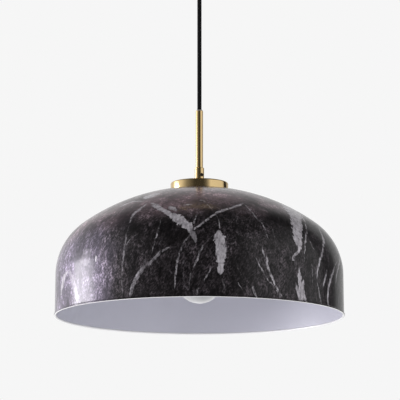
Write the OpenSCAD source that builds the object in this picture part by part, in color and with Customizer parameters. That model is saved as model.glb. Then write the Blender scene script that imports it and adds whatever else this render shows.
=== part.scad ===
// Pendant light: a marbled metal dome on a brass stem, hung from a textile cord.
// Millimetres. The origin is on the ceiling, on the lamp's axis, and the lamp hangs along -Z.
// The side that the photograph shows faces -Y.

/* [Dome shade] */
// Outside diameter over the rolled rim
shade_d = 400; // [340:5:460]
// Height of the dome, from the rim to the crown
shade_h = 178.4; // [165:0.2:190]
// Thickness of the shade's sheet metal
shade_wall = 1.2; // [0.8:0.1:2]
// Radius of the wide arc over the crown
crown_r = 277.7; // [260:0.1:300]
// Radius of the shoulder between the crown and the skirt
shoulder_r = 85.3; // [70:0.1:95]
// Angle by which the skirt widens towards the rim, in degrees
skirt_taper = 0.52; // [0:0.02:1.5]
// Radius of the rolled bead at the rim
bead_r = 1.5; // [1.3:0.1:2.5]
// How far the bead stands out from the skirt
bead_out = 1.1; // [0.6:0.1:1.8]

/* [Top cap and collar] */
// Diameter of the brass cap on the crown
cap_d = 80; // [60:1:110]
// Height of the cap at its side
cap_h = 11.5; // [9:0.5:25]
// Thickness of the cap's sheet metal
cap_wall = 1.2; // [0.8:0.1:2]
// Radius of the cap's top edge
cap_edge_r = 2.4; // [1.4:0.1:4]
// Diameter of the clamping collar
collar_d = 13; // [12.6:0.1:20]
// Height of the collar
collar_h = 21; // [12:0.5:40]
// Bevel on the collar's top edge
collar_bevel = 0.5; // [0.2:0.1:1]
// Thread diameter of the collar's grub screw
set_screw_d = 5; // [3:0.5:6]
// Angle of the grub screw, to the right of the front
set_screw_turn = 31; // [0:1:90]

/* [Stem and cord] */
// Outside diameter of the lamp tube
stem_d = 10; // [9.6:0.1:11.4]
// Wall of the lamp tube
stem_wall = 1; // [0.6:0.1:1.2]
// Length of tube that shows above the collar
stem_shown = 80.5; // [40:0.5:160]
// Diameter of the cord
cord_d = 6; // [4.5:0.1:6.4]
// Free length of cord between the grip and the bush
cord_len = 169; // [164:1:190]
// Thickness of the bush's flange on top of the tube
bush_flange = 1.2; // [0.8:0.1:3]
// Diameter of the bush's flange
bush_d = 8.8; // [8.4:0.1:9.6]
// Depth of the bush in the tube
bush_depth = 10; // [6:0.5:20]
// Largest angle at which the cord leaves its grip or bush
swing = 20; // [5:1:22]

/* [Canopy] */
// Outside diameter of the canopy
canopy_d = 120; // [112:1:150]
// Height of the canopy
canopy_h = 28; // [26:0.5:45]
// Thickness of the canopy's sheet metal
canopy_wall = 1.2; // [0.8:0.1:2]
// Radius of the canopy's lower edge
canopy_edge_r = 6; // [2.5:0.5:10]

/* [Ceiling bracket] */
// Width of the bracket strap
bracket_w = 18; // [14:0.5:24]
// Thickness of the bracket's steel
bracket_t = 1.5; // [1:0.1:2.5]
// Inside radius of the bracket's two bends
bend_r = 1; // [0.5:0.1:2]
// Height of the bracket's tabs
tab_drop = 14; // [12:0.5:20]
// Distance between the two slots for the ceiling screws
slot_spacing = 70; // [66:1:80]
// Length of each slot, end to end
slot_len = 12; // [6:0.5:13]
// Width of each slot
slot_w = 4.6; // [3.5:0.1:6]
// Diameter of the hole for the supply cable
feed_d = 12; // [8:0.5:13]
// Depth of the canopy's side screws below the ceiling
side_screw_depth = 8; // [6:0.5:10]

/* [Screws and nuts] */
// Thread diameter of the lamp tube and of the cord grip's nipple
nipple_d = 10; // [9.6:0.1:10.4]
// Width across the flats of both lamp nuts
nut_flats = 14; // [13:0.5:17]
// Height of both lamp nuts
nut_h = 4; // [3:0.5:5]
// Thread diameter of the canopy's side screws and of the earth screw
screw_d = 4; // [3:0.5:4.5]
// Thread diameter of the small screws
small_screw_d = 3; // [2.5:0.1:3.4]

/* [Cord grip] */
// Diameter of the cord grip below the canopy
grip_d = 14; // [13:0.5:20]
// Height of the cord grip below the canopy
grip_h = 16; // [12:0.5:24]
// Radius of the cord grip's lower edge
grip_edge_r = 1.5; // [0.5:0.1:2]

/* [Terminal block] */
// Distance from one pole to the next
pole_pitch = 10; // [9.5:0.1:12]
// Length of the block along the wires
block_len = 17; // [15:0.5:20]
// Height of the block's body
block_h = 8; // [7:0.5:9]
// Height of the screw towers on the body
tower_h = 5; // [3:0.5:7]
// Distance of the block's middle from the lamp's axis
block_x = 17; // [16:0.1:18]
// Distance of the earth screw from the lamp's axis
earth_x = 18; // [17:0.1:20]

/* [Lamp holder] */
// Outside diameter of the lamp holder
holder_d = 39; // [36:0.5:48]
// Height of the lamp holder
holder_h = 57; // [55:0.5:66]
// Diameter of the boss that takes the tube
boss_d = 18; // [16:0.5:22]
// Height of the boss
boss_h = 5; // [4.5:0.5:9]
// Thickness of the holder's phenolic walls
holder_wall = 2.4; // [1.8:0.1:3]
// Height of the holder's cap
holder_cap_h = 21; // [20.5:0.5:26]
// Thickness of the ceramic core
core_t = 8; // [6:0.5:9]
// Diameter of the ceramic core
core_d = 31.6; // [30.5:0.1:32.4]
// Thickness of the screw shell's brass
shell_wall = 0.4; // [0.3:0.1:0.7]

/* [Bulb] */
// Largest diameter of the bulb
bulb_d = 66; // [55:1:95]
// Length of the bulb with its cap
bulb_len = 121; // [112:1:140]
// Diameter of the glass at the neck
neck_d = 24.8; // [22:0.2:25.4]
// Thickness of the glass
glass_t = 1; // [0.6:0.1:1.5]
// Diameter of the bulb's screw cap
lamp_cap_d = 26; // [25.6:0.1:26.2]
// Length of the bulb's cap with its contact
lamp_cap_len = 27; // [25.5:0.5:28]

/* [Clearances] */
// Radial play of a screw or tube in its own thread or bore
thread_fit = 0.05; // [0.02:0.01:0.1]
// Radial play of a screw, tube or wire in a plain hole
hole_fit = 0.2; // [0.1:0.05:0.4]
// Play between the bracket's tabs and the canopy
tab_fit = 0.25; // [0.1:0.05:0.5]
// Radial play between the bulb's cap and the screw shell
bulb_fit = 0.4; // [0.3:0.05:0.5]
// Space kept round the cord where it swings
swing_gap = 0.3; // [0.3:0.05:0.4]

/* [Hidden] */
$fn = 96;
hex = 6;
cut = 1;

// Levels, from the ceiling down
cord_r = cord_d / 2;
cord_end_gap = 0.7;
throat_r = cord_r / cos(swing) + swing_gap;
throat_depth = 1.5;
grip_pivot_z = -canopy_h - grip_h;
grip_screw_z = -canopy_h - grip_h / 2;
bush_pivot_z = grip_pivot_z - cord_len;
stem_top_z = bush_pivot_z - bush_flange;
collar_top_z = stem_top_z - stem_shown;
cap_top_z = collar_top_z - collar_h;
set_screw_z = cap_top_z + collar_h / 2;
cap_inner_r = cap_d / 2 - cap_wall;
seat_z = cap_top_z - cap_h;
crown_z = seat_z + crown_r - sqrt(pow(crown_r, 2) - pow(cap_inner_r, 2));
rim_z = crown_z - shade_h;

// Dome outline: crown arc, shoulder arc and skirt line, each tangent to the next
crown_centre = [0, crown_z - crown_r];
skirt_normal = [cos(skirt_taper), sin(skirt_taper)];
skirt_along = [-sin(skirt_taper), cos(skirt_taper)];
skirt_foot = [shade_d / 2 - bead_out, rim_z];
skirt_reach = (skirt_foot - crown_centre) * skirt_normal - shoulder_r;
skirt_rise = sqrt(pow(crown_r - shoulder_r, 2) - pow(skirt_reach, 2));
shoulder_centre = crown_centre + skirt_reach * skirt_normal + skirt_rise * skirt_along;
shoulder_way = (shoulder_centre - crown_centre) / (crown_r - shoulder_r);
sector_reach = 1.25;

// Flat seat in the crown for the washer
seat_r = 22;
flat_z = crown_centre[1] + sqrt(pow(crown_r, 2) - pow(seat_r, 2));
flat_under_z = flat_z - shade_wall;

// Fastenings under the dome
nipple_r = nipple_d / 2;
stem_r = stem_d / 2;
stem_bore_r = stem_r - stem_wall;
washer_r = 15;
washer_t = 1.5;
lock_washer_r = 9;
lock_washer_t = 0.8;
lock_washer_teeth = 16;
lock_washer_top_z = flat_under_z - washer_t;
shade_nut_top_z = lock_washer_top_z - lock_washer_t;

// Lamp holder
holder_top_z = shade_nut_top_z - nut_h;
holder_low_z = holder_top_z - holder_h;
holder_r = holder_d / 2;
cap_skirt_z = holder_top_z - holder_cap_h;
dome_r = holder_r - boss_d / 2;
spigot_h = 7;
spigot_r = holder_r - holder_wall - hole_fit;
core_r = core_d / 2;
core_lift = 1;
core_top_z = cap_skirt_z + core_lift;
core_low_z = core_top_z - core_t;
stem_poke = 0.7;
stem_low_z = holder_top_z - boss_h - holder_wall - stem_poke;
shell_r = lamp_cap_d / 2 + bulb_fit;
shell_inset = 4;
shell_low_z = holder_low_z + shell_inset;
sleeve_gap = 0.8;
sleeve_bore_r = shell_r + shell_wall + sleeve_gap;
pillar_h = 5;
pillar_x = 8;
pillar_r = 2.4;
clamp_low_z = core_top_z + pillar_h;
clamp_h = 6;
clamp_w = 22;
clamp_t = 12;
clamp_slit = 1;
lead_r = 0.9;
rivet_r = 1.5;
cord_poke = 1;
cord_inner_low_z = clamp_low_z - cord_poke;
holder_pole_y = 11.5;
pole_w = 6;
pole_len = 6.4;
pole_h = 3.4;
lead_z = core_top_z + pole_h / 2;

// Bulb
bulb_r = bulb_d / 2;
bulb_gap = 0.3;
contact_t = 0.5;
contact_drop = 1.6;
bulb_top_z = core_low_z - contact_drop - contact_t - bulb_gap;
bulb_low_z = bulb_top_z - bulb_len;
bulb_centre_z = bulb_low_z + bulb_r;
lamp_cap_r = lamp_cap_d / 2;
lamp_cap_low_z = bulb_top_z - lamp_cap_len;
lamp_cap_wall = 0.3;
flare_h = 2;
flare_out = 0.5;
button_r = 4.6;
button_h = 1.6;
insulator_h = 4.4;
insulator_r = 11;
neck_r = neck_d / 2;
neck_drop = 1.5;
neck_z = lamp_cap_low_z - neck_drop;
neck_tuck = 8;
neck_arc_r = (pow(neck_z - bulb_centre_z, 2) / (bulb_r - neck_r) - bulb_r - neck_r) / 2;
mount_r = 3;
mount_stop = 6;
mount_low_z = bulb_centre_z + mount_stop;
filament_ring_r = 9;
filament_r = 0.9;
filament_count = 4;
spider_t = 0.8;
spider_drop = 16;
spider_high_z = neck_z - spider_drop;

// Inside the canopy
canopy_r = canopy_d / 2;
canopy_bore_r = canopy_r - canopy_wall;
floor_z = canopy_wall - canopy_h;
tab_x = sqrt(pow(canopy_bore_r, 2) - pow(bracket_w / 2, 2)) - tab_fit;
grip_washer_r = 8;
grip_washer_t = 0.8;
nipple_poke = 1.5;
nipple_top_z = floor_z + grip_washer_t + nut_h + nipple_poke;
sheath_poke = 3;
sheath_top_z = nipple_top_z + sheath_poke;
wire_r = 1;
tube_r = 2.2;
tube_bore_r = wire_r + 0.3;
clamp_screw_r = 1.2;
tower_r = 3.4;
tower_x = 4.5;
pole_z = -bracket_t - block_h / 2;
screw_head_h = 2.4;
screw_head_share = 1.75;
small_head_r = small_screw_d / 2 + 1.2;
small_head_h = 1.8;
tag_t = 0.8;
tag_r = 4.2;
tag_z = -bracket_t - tag_t;
crimp_r = 1.7;
crimp_len = 4;
crimp_gap = 0.6;
crimp_x = -earth_x + screw_d / 2 * screw_head_share + crimp_gap;
crimp_z = tag_z - crimp_r + tag_t / 2;

// Distances below the grip at which the cord's tube has its rings
cord_drops = [12, 24, 36, 48, 60, 72, 84, 96, 108, 120, 132, 144, 156];
cord_route = concat(
    [[0, 0, grip_pivot_z - cord_end_gap]],
    [for (drop = cord_drops) [0, 0, grip_pivot_z - drop]],
    [[0, 0, bush_pivot_z + cord_end_gap]]
);
cord_top_route = [[0, 0, grip_pivot_z + cord_end_gap], [0, 0, -36], [0, 0, -26], [0, 0, sheath_top_z]];
cord_inner_route = [
    [0, 0, bush_pivot_z - cord_end_gap], [0, 0, -228], [0, 0, -243], [0, 0, -258], [0, 0, -273],
    [0, 0, -288], [0, 0, -303], [0, 0, -318], [0, 0, -333], [0, 0, cord_inner_low_z]
];
// Route of the live core from the cord to its pole; the neutral core mirrors it
core_route = [
    [0.6, -1.5, sheath_top_z], [0.6, -1.5, sheath_top_z + 1], [1, -2.4, sheath_top_z + 3],
    [2, -5, -10.4], [3.6, -7.8, -8], [6, -pole_pitch, pole_z],
    [block_x - tower_x + 1, -pole_pitch, pole_z]
];
// Route of the earth wire from the middle pole to its tag
earth_route = [
    [block_x - tower_x + 1, 0, pole_z], [7, 0, pole_z], [3, 0, -7], [-2, 0, -7.4],
    [-6, 0, -6.4], [crimp_x + crimp_len + 0.5, 0, crimp_z], [crimp_x + 0.5, 0, crimp_z]
];
// Route of one lead from the inner cord to the holder's terminal; the other mirrors it
lead_route = [
    [0, 1.5, cord_inner_low_z], [0, 1.5, cord_inner_low_z - 0.5], [0, 2.3, cord_inner_low_z - 1.7],
    [0, 4.2, lead_z], [0, 7, lead_z], [0, holder_pole_y, lead_z]
];

// Outlines and plain solids

module rod(r, low, high) {
    translate([0, 0, low]) cylinder(r = r, h = high - low);
}

module ring(r, bore, low, high) {
    difference() {
        rod(r, low, high);
        rod(bore, low - cut, high + cut);
    }
}

module hex_nut(flats, bore, low, high) {
    difference() {
        translate([0, 0, low]) cylinder(d = flats / cos(30), h = high - low, $fn = hex);
        rod(bore, low - cut, high + cut);
    }
}

// Rod along X, from x = from to x = to, at height z
module rod_x(r, from, to, z) {
    translate([from, 0, z]) rotate([0, 90, 0]) cylinder(r = r, h = to - from);
}

// Half section of a cup that hangs from z = 0, with a round lower edge
module cup_outline(r, h, corner) {
    translate([0, -h]) square([r - corner, h]);
    translate([0, corner - h]) square([r, h - corner]);
    translate([r - corner, corner - h]) circle(corner);
}

// Flat-topped arch below z = 0, with two round upper corners
module arch_outline(half, drop, corner) {
    translate([-half, -drop]) square([2 * half, drop - corner]);
    translate([corner - half, -corner]) square([2 * (half - corner), corner]);
    for (side = [-1, 1]) {
        translate([side * (half - corner), -corner]) circle(corner);
    }
}

// Slot of a given overall length along X, through the bracket's strap
module slot(length, width) {
    reach = (length - width) / 2;
    for (side = [-1, 1]) {
        translate([side * reach, 0, 0]) rod(width / 2, -bracket_t - cut, cut);
    }
    translate([-reach, -width / 2, -bracket_t - cut]) cube([2 * reach, width, bracket_t + 2 * cut]);
}

function unit(v) = v / norm(v);
function heading(route, i) = unit(route[min(i + 1, len(route) - 1)] - route[max(i - 1, 0)]);
function ring_points(route, i, r, sides, across) =
    let (along = heading(route, i), u = unit(cross(along, across)), v = cross(along, u))
    [for (k = [0 : sides - 1]) route[i] + r * (cos(k * 360 / sides) * u + sin(k * 360 / sides) * v)];

// Round tube swept along a route; across is a direction that the route never takes
module sweep(route, r, sides, across) {
    rings = len(route);
    points = [for (i = [0 : rings - 1]) each ring_points(route, i, r, sides, across)];
    walls = [
        for (i = [0 : rings - 2], k = [0 : sides - 1])
            let (a = i * sides + k, b = i * sides + (k + 1) % sides)
            each [[a, a + sides, b + sides], [a, b + sides, b]]
    ];
    first = [for (k = [0 : sides - 1]) k];
    last = [for (k = [sides - 1 : -1 : 0]) (rings - 1) * sides + k];
    polyhedron(points = points, faces = concat([first], walls, [last]));
}

// Ceiling fittings

module ceiling_bracket() {
    color("silver") difference() {
        rotate([90, 0, 0]) linear_extrude(bracket_w, center = true) difference() {
            arch_outline(tab_x, tab_drop, bend_r + bracket_t);
            translate([0, -bracket_t]) arch_outline(tab_x - bracket_t, tab_drop, bend_r);
        }
        for (side = [-1, 1]) {
            translate([side * slot_spacing / 2, 0, 0]) slot(slot_len, slot_w);
        }
        rod(feed_d / 2, -bracket_t - cut, cut);
        translate([-earth_x, 0, 0]) rod(screw_d / 2 + thread_fit, -bracket_t - cut, cut);
        translate([block_x, pole_pitch / 2, 0])
            rod(small_screw_d / 2 + thread_fit, -bracket_t - cut, cut);
        rod_x(screw_d / 2 + thread_fit, -tab_x - cut, tab_x + cut, -side_screw_depth);
    }
}

module canopy() {
    color("goldenrod") difference() {
        rotate_extrude() difference() {
            cup_outline(canopy_r, canopy_h, canopy_edge_r);
            translate([0, cut])
                cup_outline(canopy_bore_r, canopy_h - canopy_wall + cut, canopy_edge_r - canopy_wall);
            translate([0, -canopy_h - cut]) square([nipple_r + hole_fit, canopy_wall + 2 * cut]);
        }
        rod_x(screw_d / 2 + hole_fit, -canopy_r - cut, canopy_r + cut, -side_screw_depth);
    }
}

module canopy_screws() {
    screw_in = 5;
    for (side = [0, 180]) {
        color("goldenrod") rotate([0, 0, side]) {
            rod_x(screw_d / 2, canopy_r - screw_in, canopy_r + thread_fit, -side_screw_depth);
            difference() {
                rod_x(screw_d, canopy_r + thread_fit, canopy_r + screw_head_h, -side_screw_depth);
                translate([canopy_r + screw_head_h / 2, -screw_d, -side_screw_depth - bracket_t / 4])
                    cube([screw_head_h, 2 * screw_d, bracket_t / 2]);
            }
        }
    }
}

module grip_body() {
    color("goldenrod") difference() {
        union() {
            translate([0, 0, -canopy_h]) rotate_extrude() cup_outline(grip_d / 2, grip_h, grip_edge_r);
            rod(nipple_r, -canopy_h - cut, nipple_top_z);
        }
        rod(cord_r + hole_fit, grip_pivot_z - cut, nipple_top_z + cut);
        rod(throat_r, grip_pivot_z - cut, grip_pivot_z + throat_depth);
        rod_x(small_screw_d / 2 + thread_fit, 0, grip_d, grip_screw_z);
    }
}

module grip_screw() {
    color("dimgray") socket_screw(small_screw_d, cord_r + thread_fit, grip_d / 2 - hole_fit, grip_screw_z);
}

// Headless screw along X with a hexagon socket in its outer end
module socket_screw(thread, from, to, z) {
    socket = thread / 2;
    difference() {
        rod_x(thread / 2, from, to, z);
        translate([to - socket / 2, 0, z]) rotate([0, 90, 0])
            cylinder(d = socket / cos(30), h = socket, $fn = hex);
    }
}

module grip_washer() {
    color("silver") ring(grip_washer_r, nipple_r + hole_fit, floor_z, floor_z + grip_washer_t);
}

module grip_nut() {
    low = floor_z + grip_washer_t;
    color("goldenrod") hex_nut(nut_flats, nipple_r + thread_fit, low, low + nut_h);
}

module cord_top() {
    color("black") sweep(cord_top_route, cord_r, 12, [1, 0, 0]);
}

module wire_live() {
    color("brown") sweep(core_route, wire_r, 8, [1, -1, 1]);
}

module wire_neutral() {
    color("royalblue") mirror([0, 1, 0]) sweep(core_route, wire_r, 8, [1, -1, 1]);
}

module wire_earth() {
    color("yellowgreen") sweep(earth_route, wire_r, 8, [0, 1, 0]);
}

// Places its children at the three poles of the block
module poles() {
    for (pole = [-1 : 1]) {
        translate([block_x, pole * pole_pitch, 0]) children();
    }
}

module terminal_block() {
    block_w = 3 * pole_pitch;
    tower_low_z = -bracket_t - block_h - tower_h;
    color("whitesmoke") difference() {
        union() {
            translate([block_x - block_len / 2, -block_w / 2, -bracket_t - block_h])
                cube([block_len, block_w, block_h]);
            poles() {
                for (side = [-1, 1]) {
                    translate([side * tower_x, 0, 0]) rod(tower_r, tower_low_z, -bracket_t - block_h / 2);
                }
            }
        }
        poles() {
            rod_x(tube_r + thread_fit, -block_len / 2 - cut, block_len / 2 + cut, pole_z);
            for (side = [-1, 1]) {
                translate([side * tower_x, 0, 0])
                    rod(small_screw_d / 2 + hole_fit + thread_fit, tower_low_z - cut, pole_z);
            }
        }
        translate([block_x, pole_pitch / 2, 0])
            rod(small_screw_d / 2 + hole_fit, -bracket_t - block_h - cut, cut - bracket_t);
    }
}

module terminal_clamps() {
    inset = 0.5;
    color("goldenrod") poles() difference() {
        rod_x(tube_r, inset - block_len / 2, block_len / 2 - inset, pole_z);
        rod_x(tube_bore_r, -block_len / 2, block_len / 2, pole_z);
        for (side = [-1, 1]) {
            translate([side * tower_x, 0, 0])
                rod(clamp_screw_r + thread_fit, pole_z - tube_r - cut, pole_z);
        }
    }
}

module terminal_screws() {
    tip_z = pole_z - wire_r - thread_fit;
    head_low_z = pole_z - block_h / 2 - tower_h + 1;
    color("silver") poles() {
        for (side = [-1, 1]) {
            translate([side * tower_x, 0, 0]) difference() {
                union() {
                    rod(clamp_screw_r, head_low_z, tip_z);
                    rod(small_screw_d / 2, head_low_z, pole_z - tube_r - thread_fit);
                }
                translate([-small_screw_d / 2, -0.3, head_low_z - cut]) cube([small_screw_d, 0.6, 2 * cut]);
            }
        }
    }
}

module block_screw() {
    low = -bracket_t - block_h;
    color("silver") translate([block_x, pole_pitch / 2, 0]) {
        rod(small_screw_d / 2, low, -hole_fit);
        rod(small_head_r, low - small_head_h, low);
    }
}

module earth_tag() {
    color("silver") difference() {
        union() {
            translate([-earth_x, 0, 0]) rod(tag_r, tag_z, -bracket_t);
            translate([-earth_x, -crimp_r, tag_z]) cube([crimp_x + earth_x + 1, 2 * crimp_r, tag_t]);
            rod_x(crimp_r, crimp_x, crimp_x + crimp_len, crimp_z);
        }
        translate([-earth_x, 0, 0]) rod(screw_d / 2 + hole_fit, tag_z - cut, 0);
        rod_x(wire_r + thread_fit, crimp_x - cut, crimp_x + crimp_len + cut, crimp_z);
    }
}

module earth_screw() {
    color("silver") translate([-earth_x, 0, 0]) {
        rod(screw_d / 2, tag_z, -hole_fit);
        rod(screw_d / 2 * screw_head_share, tag_z - screw_head_h, tag_z);
    }
}

// The free cord

module cord() {
    color("black") sweep(cord_route, cord_r, 12, [1, 0, 0]);
}

// Stem, cap and dome

module stem_bush() {
    color("gray") difference() {
        union() {
            rod(bush_d / 2, stem_top_z, bush_pivot_z);
            rod(stem_bore_r - thread_fit, stem_top_z - bush_depth, stem_top_z + cut / 2);
        }
        rod(cord_r + hole_fit, stem_top_z - bush_depth - cut, bush_pivot_z + cut);
        rod(throat_r, bush_pivot_z - throat_depth, bush_pivot_z + cut);
    }
}

module stem() {
    color("goldenrod") difference() {
        ring(stem_r, stem_bore_r, stem_low_z, stem_top_z);
        at_set_screw() rod_x(set_screw_d / 2 + thread_fit, 0, stem_d, set_screw_z);
    }
}

module at_set_screw() {
    rotate([0, 0, set_screw_turn - 90]) children();
}

module collar() {
    color("goldenrod") difference() {
        rotate_extrude() polygon([
            [stem_r + thread_fit, cap_top_z], [collar_d / 2, cap_top_z],
            [collar_d / 2, collar_top_z - collar_bevel], [collar_d / 2 - collar_bevel, collar_top_z],
            [stem_r + thread_fit, collar_top_z]
        ]);
        at_set_screw() rod_x(set_screw_d / 2 + thread_fit, 0, collar_d, set_screw_z);
    }
}

module set_screw() {
    color("dimgray") at_set_screw()
        socket_screw(set_screw_d, stem_bore_r + thread_fit, collar_d / 2 - thread_fit, set_screw_z);
}

module top_cap() {
    color("goldenrod") translate([0, 0, seat_z]) mirror([0, 0, 1]) rotate_extrude() difference() {
        cup_outline(cap_d / 2, cap_h, cap_edge_r);
        translate([0, cut]) cup_outline(cap_inner_r, cap_h - cap_wall + cut, cap_edge_r - cap_wall);
        translate([0, -cap_h - cut]) square([stem_r + hole_fit, cap_wall + 2 * cut]);
    }
}

function skirt_point(inset, z) =
    [((skirt_foot * skirt_normal) - inset - z * skirt_normal[1]) / skirt_normal[0], z];

// Part of a circle between two directions from its centre
module sector(centre, r, way_a, way_b) {
    middle = unit(way_a + way_b);
    intersection() {
        translate(centre) circle(r);
        polygon([
            centre, centre + sector_reach * r * way_a, centre + sector_reach * r * middle,
            centre + sector_reach * r * way_b
        ]);
    }
}

// Filled half section of the dome, drawn a given distance inside its outer face, down to z = low
module dome_outline(inset, low) {
    crown_end = crown_centre + (crown_r - inset) * shoulder_way;
    skirt_end = shoulder_centre + (shoulder_r - inset) * skirt_normal;
    polygon([[0, low], skirt_point(inset, low), skirt_end, crown_end, [0, crown_z - inset]]);
    sector(shoulder_centre, shoulder_r - inset, skirt_normal, shoulder_way);
    intersection() {
        sector(crown_centre, crown_r - inset, shoulder_way, [0, 1]);
        translate([0, low]) square([shade_d, shade_h + crown_r]);
    }
}

module shade() {
    bore_r = stem_r + hole_fit;
    color("dimgray") rotate_extrude() difference() {
        union() {
            intersection() {
                difference() {
                    dome_outline(0, rim_z + bead_r);
                    dome_outline(shade_wall, rim_z - cut);
                }
                translate([0, rim_z]) square([shade_d, flat_z - rim_z]);
            }
            translate([0, flat_under_z]) square([seat_r, shade_wall]);
            translate([shade_d / 2 - bead_r, rim_z + bead_r]) circle(bead_r);
        }
        translate([-cut, rim_z]) square([bore_r + cut, shade_h + cut]);
    }
}

module shade_washer() {
    color("silver") ring(washer_r, stem_r + hole_fit, lock_washer_top_z, flat_under_z);
}

module lock_washer() {
    notch_r = 1.1;
    color("silver") difference() {
        ring(lock_washer_r, stem_r + hole_fit, shade_nut_top_z, lock_washer_top_z);
        for (tooth = [1 : lock_washer_teeth]) {
            rotate([0, 0, tooth * 360 / lock_washer_teeth]) translate([lock_washer_r, 0, 0])
                rod(notch_r, shade_nut_top_z - cut, lock_washer_top_z + cut);
        }
    }
}

module shade_nut() {
    color("goldenrod") hex_nut(nut_flats, stem_r + thread_fit, holder_top_z, shade_nut_top_z);
}

// Lamp holder

// Half section of the holder's cap, drawn a given distance inside its outer face
module holder_cap_outline(inset) {
    dome_z = holder_top_z - boss_h - dome_r;
    translate([0, cap_skirt_z]) square([holder_r - inset, dome_z - cap_skirt_z]);
    translate([0, dome_z]) square([boss_d / 2, dome_r - inset]);
    intersection() {
        translate([boss_d / 2, dome_z]) circle(dome_r - inset);
        translate([0, dome_z]) square([holder_r, dome_r]);
    }
}

module holder_cap() {
    color("black") difference() {
        rotate_extrude() difference() {
            union() {
                holder_cap_outline(0);
                translate([0, holder_top_z - boss_h - cut]) square([boss_d / 2, boss_h + cut]);
            }
            holder_cap_outline(holder_wall);
            translate([0, cap_skirt_z - cut]) square([holder_r - holder_wall, 2 * cut]);
            translate([0, cap_skirt_z]) square([stem_r + thread_fit, holder_cap_h + cut]);
        }
        rod_x(small_screw_d / 2 + thread_fit, 0, holder_d, holder_top_z - boss_h / 2);
    }
}

module lock_screw() {
    color("dimgray")
        socket_screw(small_screw_d, stem_r + thread_fit, boss_d / 2, holder_top_z - boss_h / 2);
}

module cord_clamp() {
    color("gainsboro") difference() {
        translate([-clamp_w / 2, -clamp_t / 2, clamp_low_z]) cube([clamp_w, clamp_t, clamp_h]);
        rod(cord_r + thread_fit, clamp_low_z - cut, clamp_low_z + clamp_h + cut);
        translate([-clamp_w, -clamp_slit / 2, clamp_low_z - cut])
            cube([2 * clamp_w, clamp_slit, clamp_h + 2 * cut]);
        for (side = [-1, 1]) {
            translate([side * pillar_x, 0, clamp_low_z + clamp_h / 2]) rotate([90, 0, 0])
                cylinder(r = small_screw_d / 2 + thread_fit, h = clamp_w, center = true);
        }
    }
}

module clamp_screws() {
    color("silver") for (side = [-1, 1]) {
        translate([side * pillar_x, -clamp_t / 2, clamp_low_z + clamp_h / 2]) rotate([-90, 0, 0]) {
            cylinder(r = small_screw_d / 2, h = clamp_t);
            translate([0, 0, -small_head_h]) cylinder(r = small_head_r, h = small_head_h);
        }
    }
}

module cord_inner() {
    color("black") sweep(cord_inner_route, cord_r, 12, [1, 0, 0]);
}

module lead_live() {
    color("brown") sweep(lead_route, lead_r, 8, [1, 0, 0]);
}

module lead_neutral() {
    color("royalblue") mirror([0, 1, 0]) sweep(lead_route, lead_r, 8, [1, 0, 0]);
}

module holder_core() {
    color("ivory") difference() {
        union() {
            rod(core_r, core_low_z, core_top_z);
            for (side = [-1, 1]) {
                translate([side * pillar_x, 0, 0]) rod(pillar_r, core_top_z - cut, clamp_low_z);
            }
        }
        for (side = [-1, 1]) {
            translate([0, side * holder_pole_y, 0])
                rod(small_screw_d / 2 + hole_fit, core_top_z - core_t / 2, core_top_z + cut);
        }
        rod(rivet_r + thread_fit, core_low_z - cut, core_top_z + cut);
    }
}

module holder_terminals() {
    color("goldenrod") for (side = [-1, 1]) {
        difference() {
            translate([-pole_w / 2, side * holder_pole_y - pole_len / 2, core_top_z])
                cube([pole_w, pole_len, pole_h]);
            translate([0, side * holder_pole_y, lead_z]) rotate([90, 0, 0])
                cylinder(r = lead_r + hole_fit, h = 2 * pole_len, center = true);
            translate([0, side * (holder_pole_y + lead_r), 0])
                rod(small_screw_d / 2 + thread_fit, lead_z, core_top_z + pole_h + cut);
        }
    }
}

module holder_screws() {
    low = lead_z + lead_r + thread_fit;
    high = core_top_z + pole_h;
    color("silver") for (side = [-1, 1]) {
        translate([0, side * (holder_pole_y + lead_r), 0]) {
            rod(small_screw_d / 2, low, high);
            rod(small_head_r, high, high + 1.4);
        }
    }
}

module holder_shell() {
    color("goldenrod") ring(shell_r + shell_wall, shell_r, shell_low_z, core_low_z);
}

module holder_contact() {
    tongue_w = 5;
    tongue_low_z = core_low_z - contact_drop - contact_t;
    color("peru") {
        rod(rivet_r, core_low_z - cut / 2, core_top_z);
        translate([-tongue_w / 2, -tongue_w / 2, core_low_z - contact_t])
            cube([tongue_w * 1.6, tongue_w, contact_t]);
        translate([tongue_w * 1.1 - contact_t, -tongue_w / 2, tongue_low_z])
            cube([contact_t, tongue_w, contact_drop + contact_t]);
        translate([-tongue_w / 2, -tongue_w / 2, tongue_low_z])
            cube([tongue_w * 1.6, tongue_w, contact_t]);
    }
}

module holder_sleeve() {
    rib_h = 1.2;
    rib_pitch = 4;
    color("black") rotate_extrude() difference() {
        union() {
            translate([0, holder_low_z]) square([holder_r, cap_skirt_z - holder_low_z]);
            translate([0, cap_skirt_z - cut]) square([spigot_r, spigot_h + cut]);
        }
        translate([0, holder_low_z - cut]) square([sleeve_bore_r, holder_h]);
        translate([0, core_low_z]) square([core_r + hole_fit, holder_h]);
        for (rib = [1 : 5]) {
            translate([holder_r, holder_low_z + 3 + rib * rib_pitch]) circle(rib_h / 2);
        }
    }
}

// Bulb

// Filled half section of the glass, drawn a given distance inside its outer face
module glass_outline(inset) {
    arc_centre = [neck_r + neck_arc_r, neck_z];
    to_arc = unit(arc_centre - [0, bulb_centre_z]);
    joint = [0, bulb_centre_z] + (bulb_r - inset) * to_arc;
    intersection() {
        translate([0, bulb_centre_z]) circle(bulb_r - inset);
        translate([0, bulb_low_z]) square([bulb_d, bulb_d]);
    }
    difference() {
        polygon([[0, bulb_centre_z], joint, arc_centre, [0, neck_z]]);
        translate(arc_centre) circle(neck_arc_r + inset);
    }
    translate([0, neck_z]) square([neck_r - inset, neck_tuck]);
}

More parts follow.
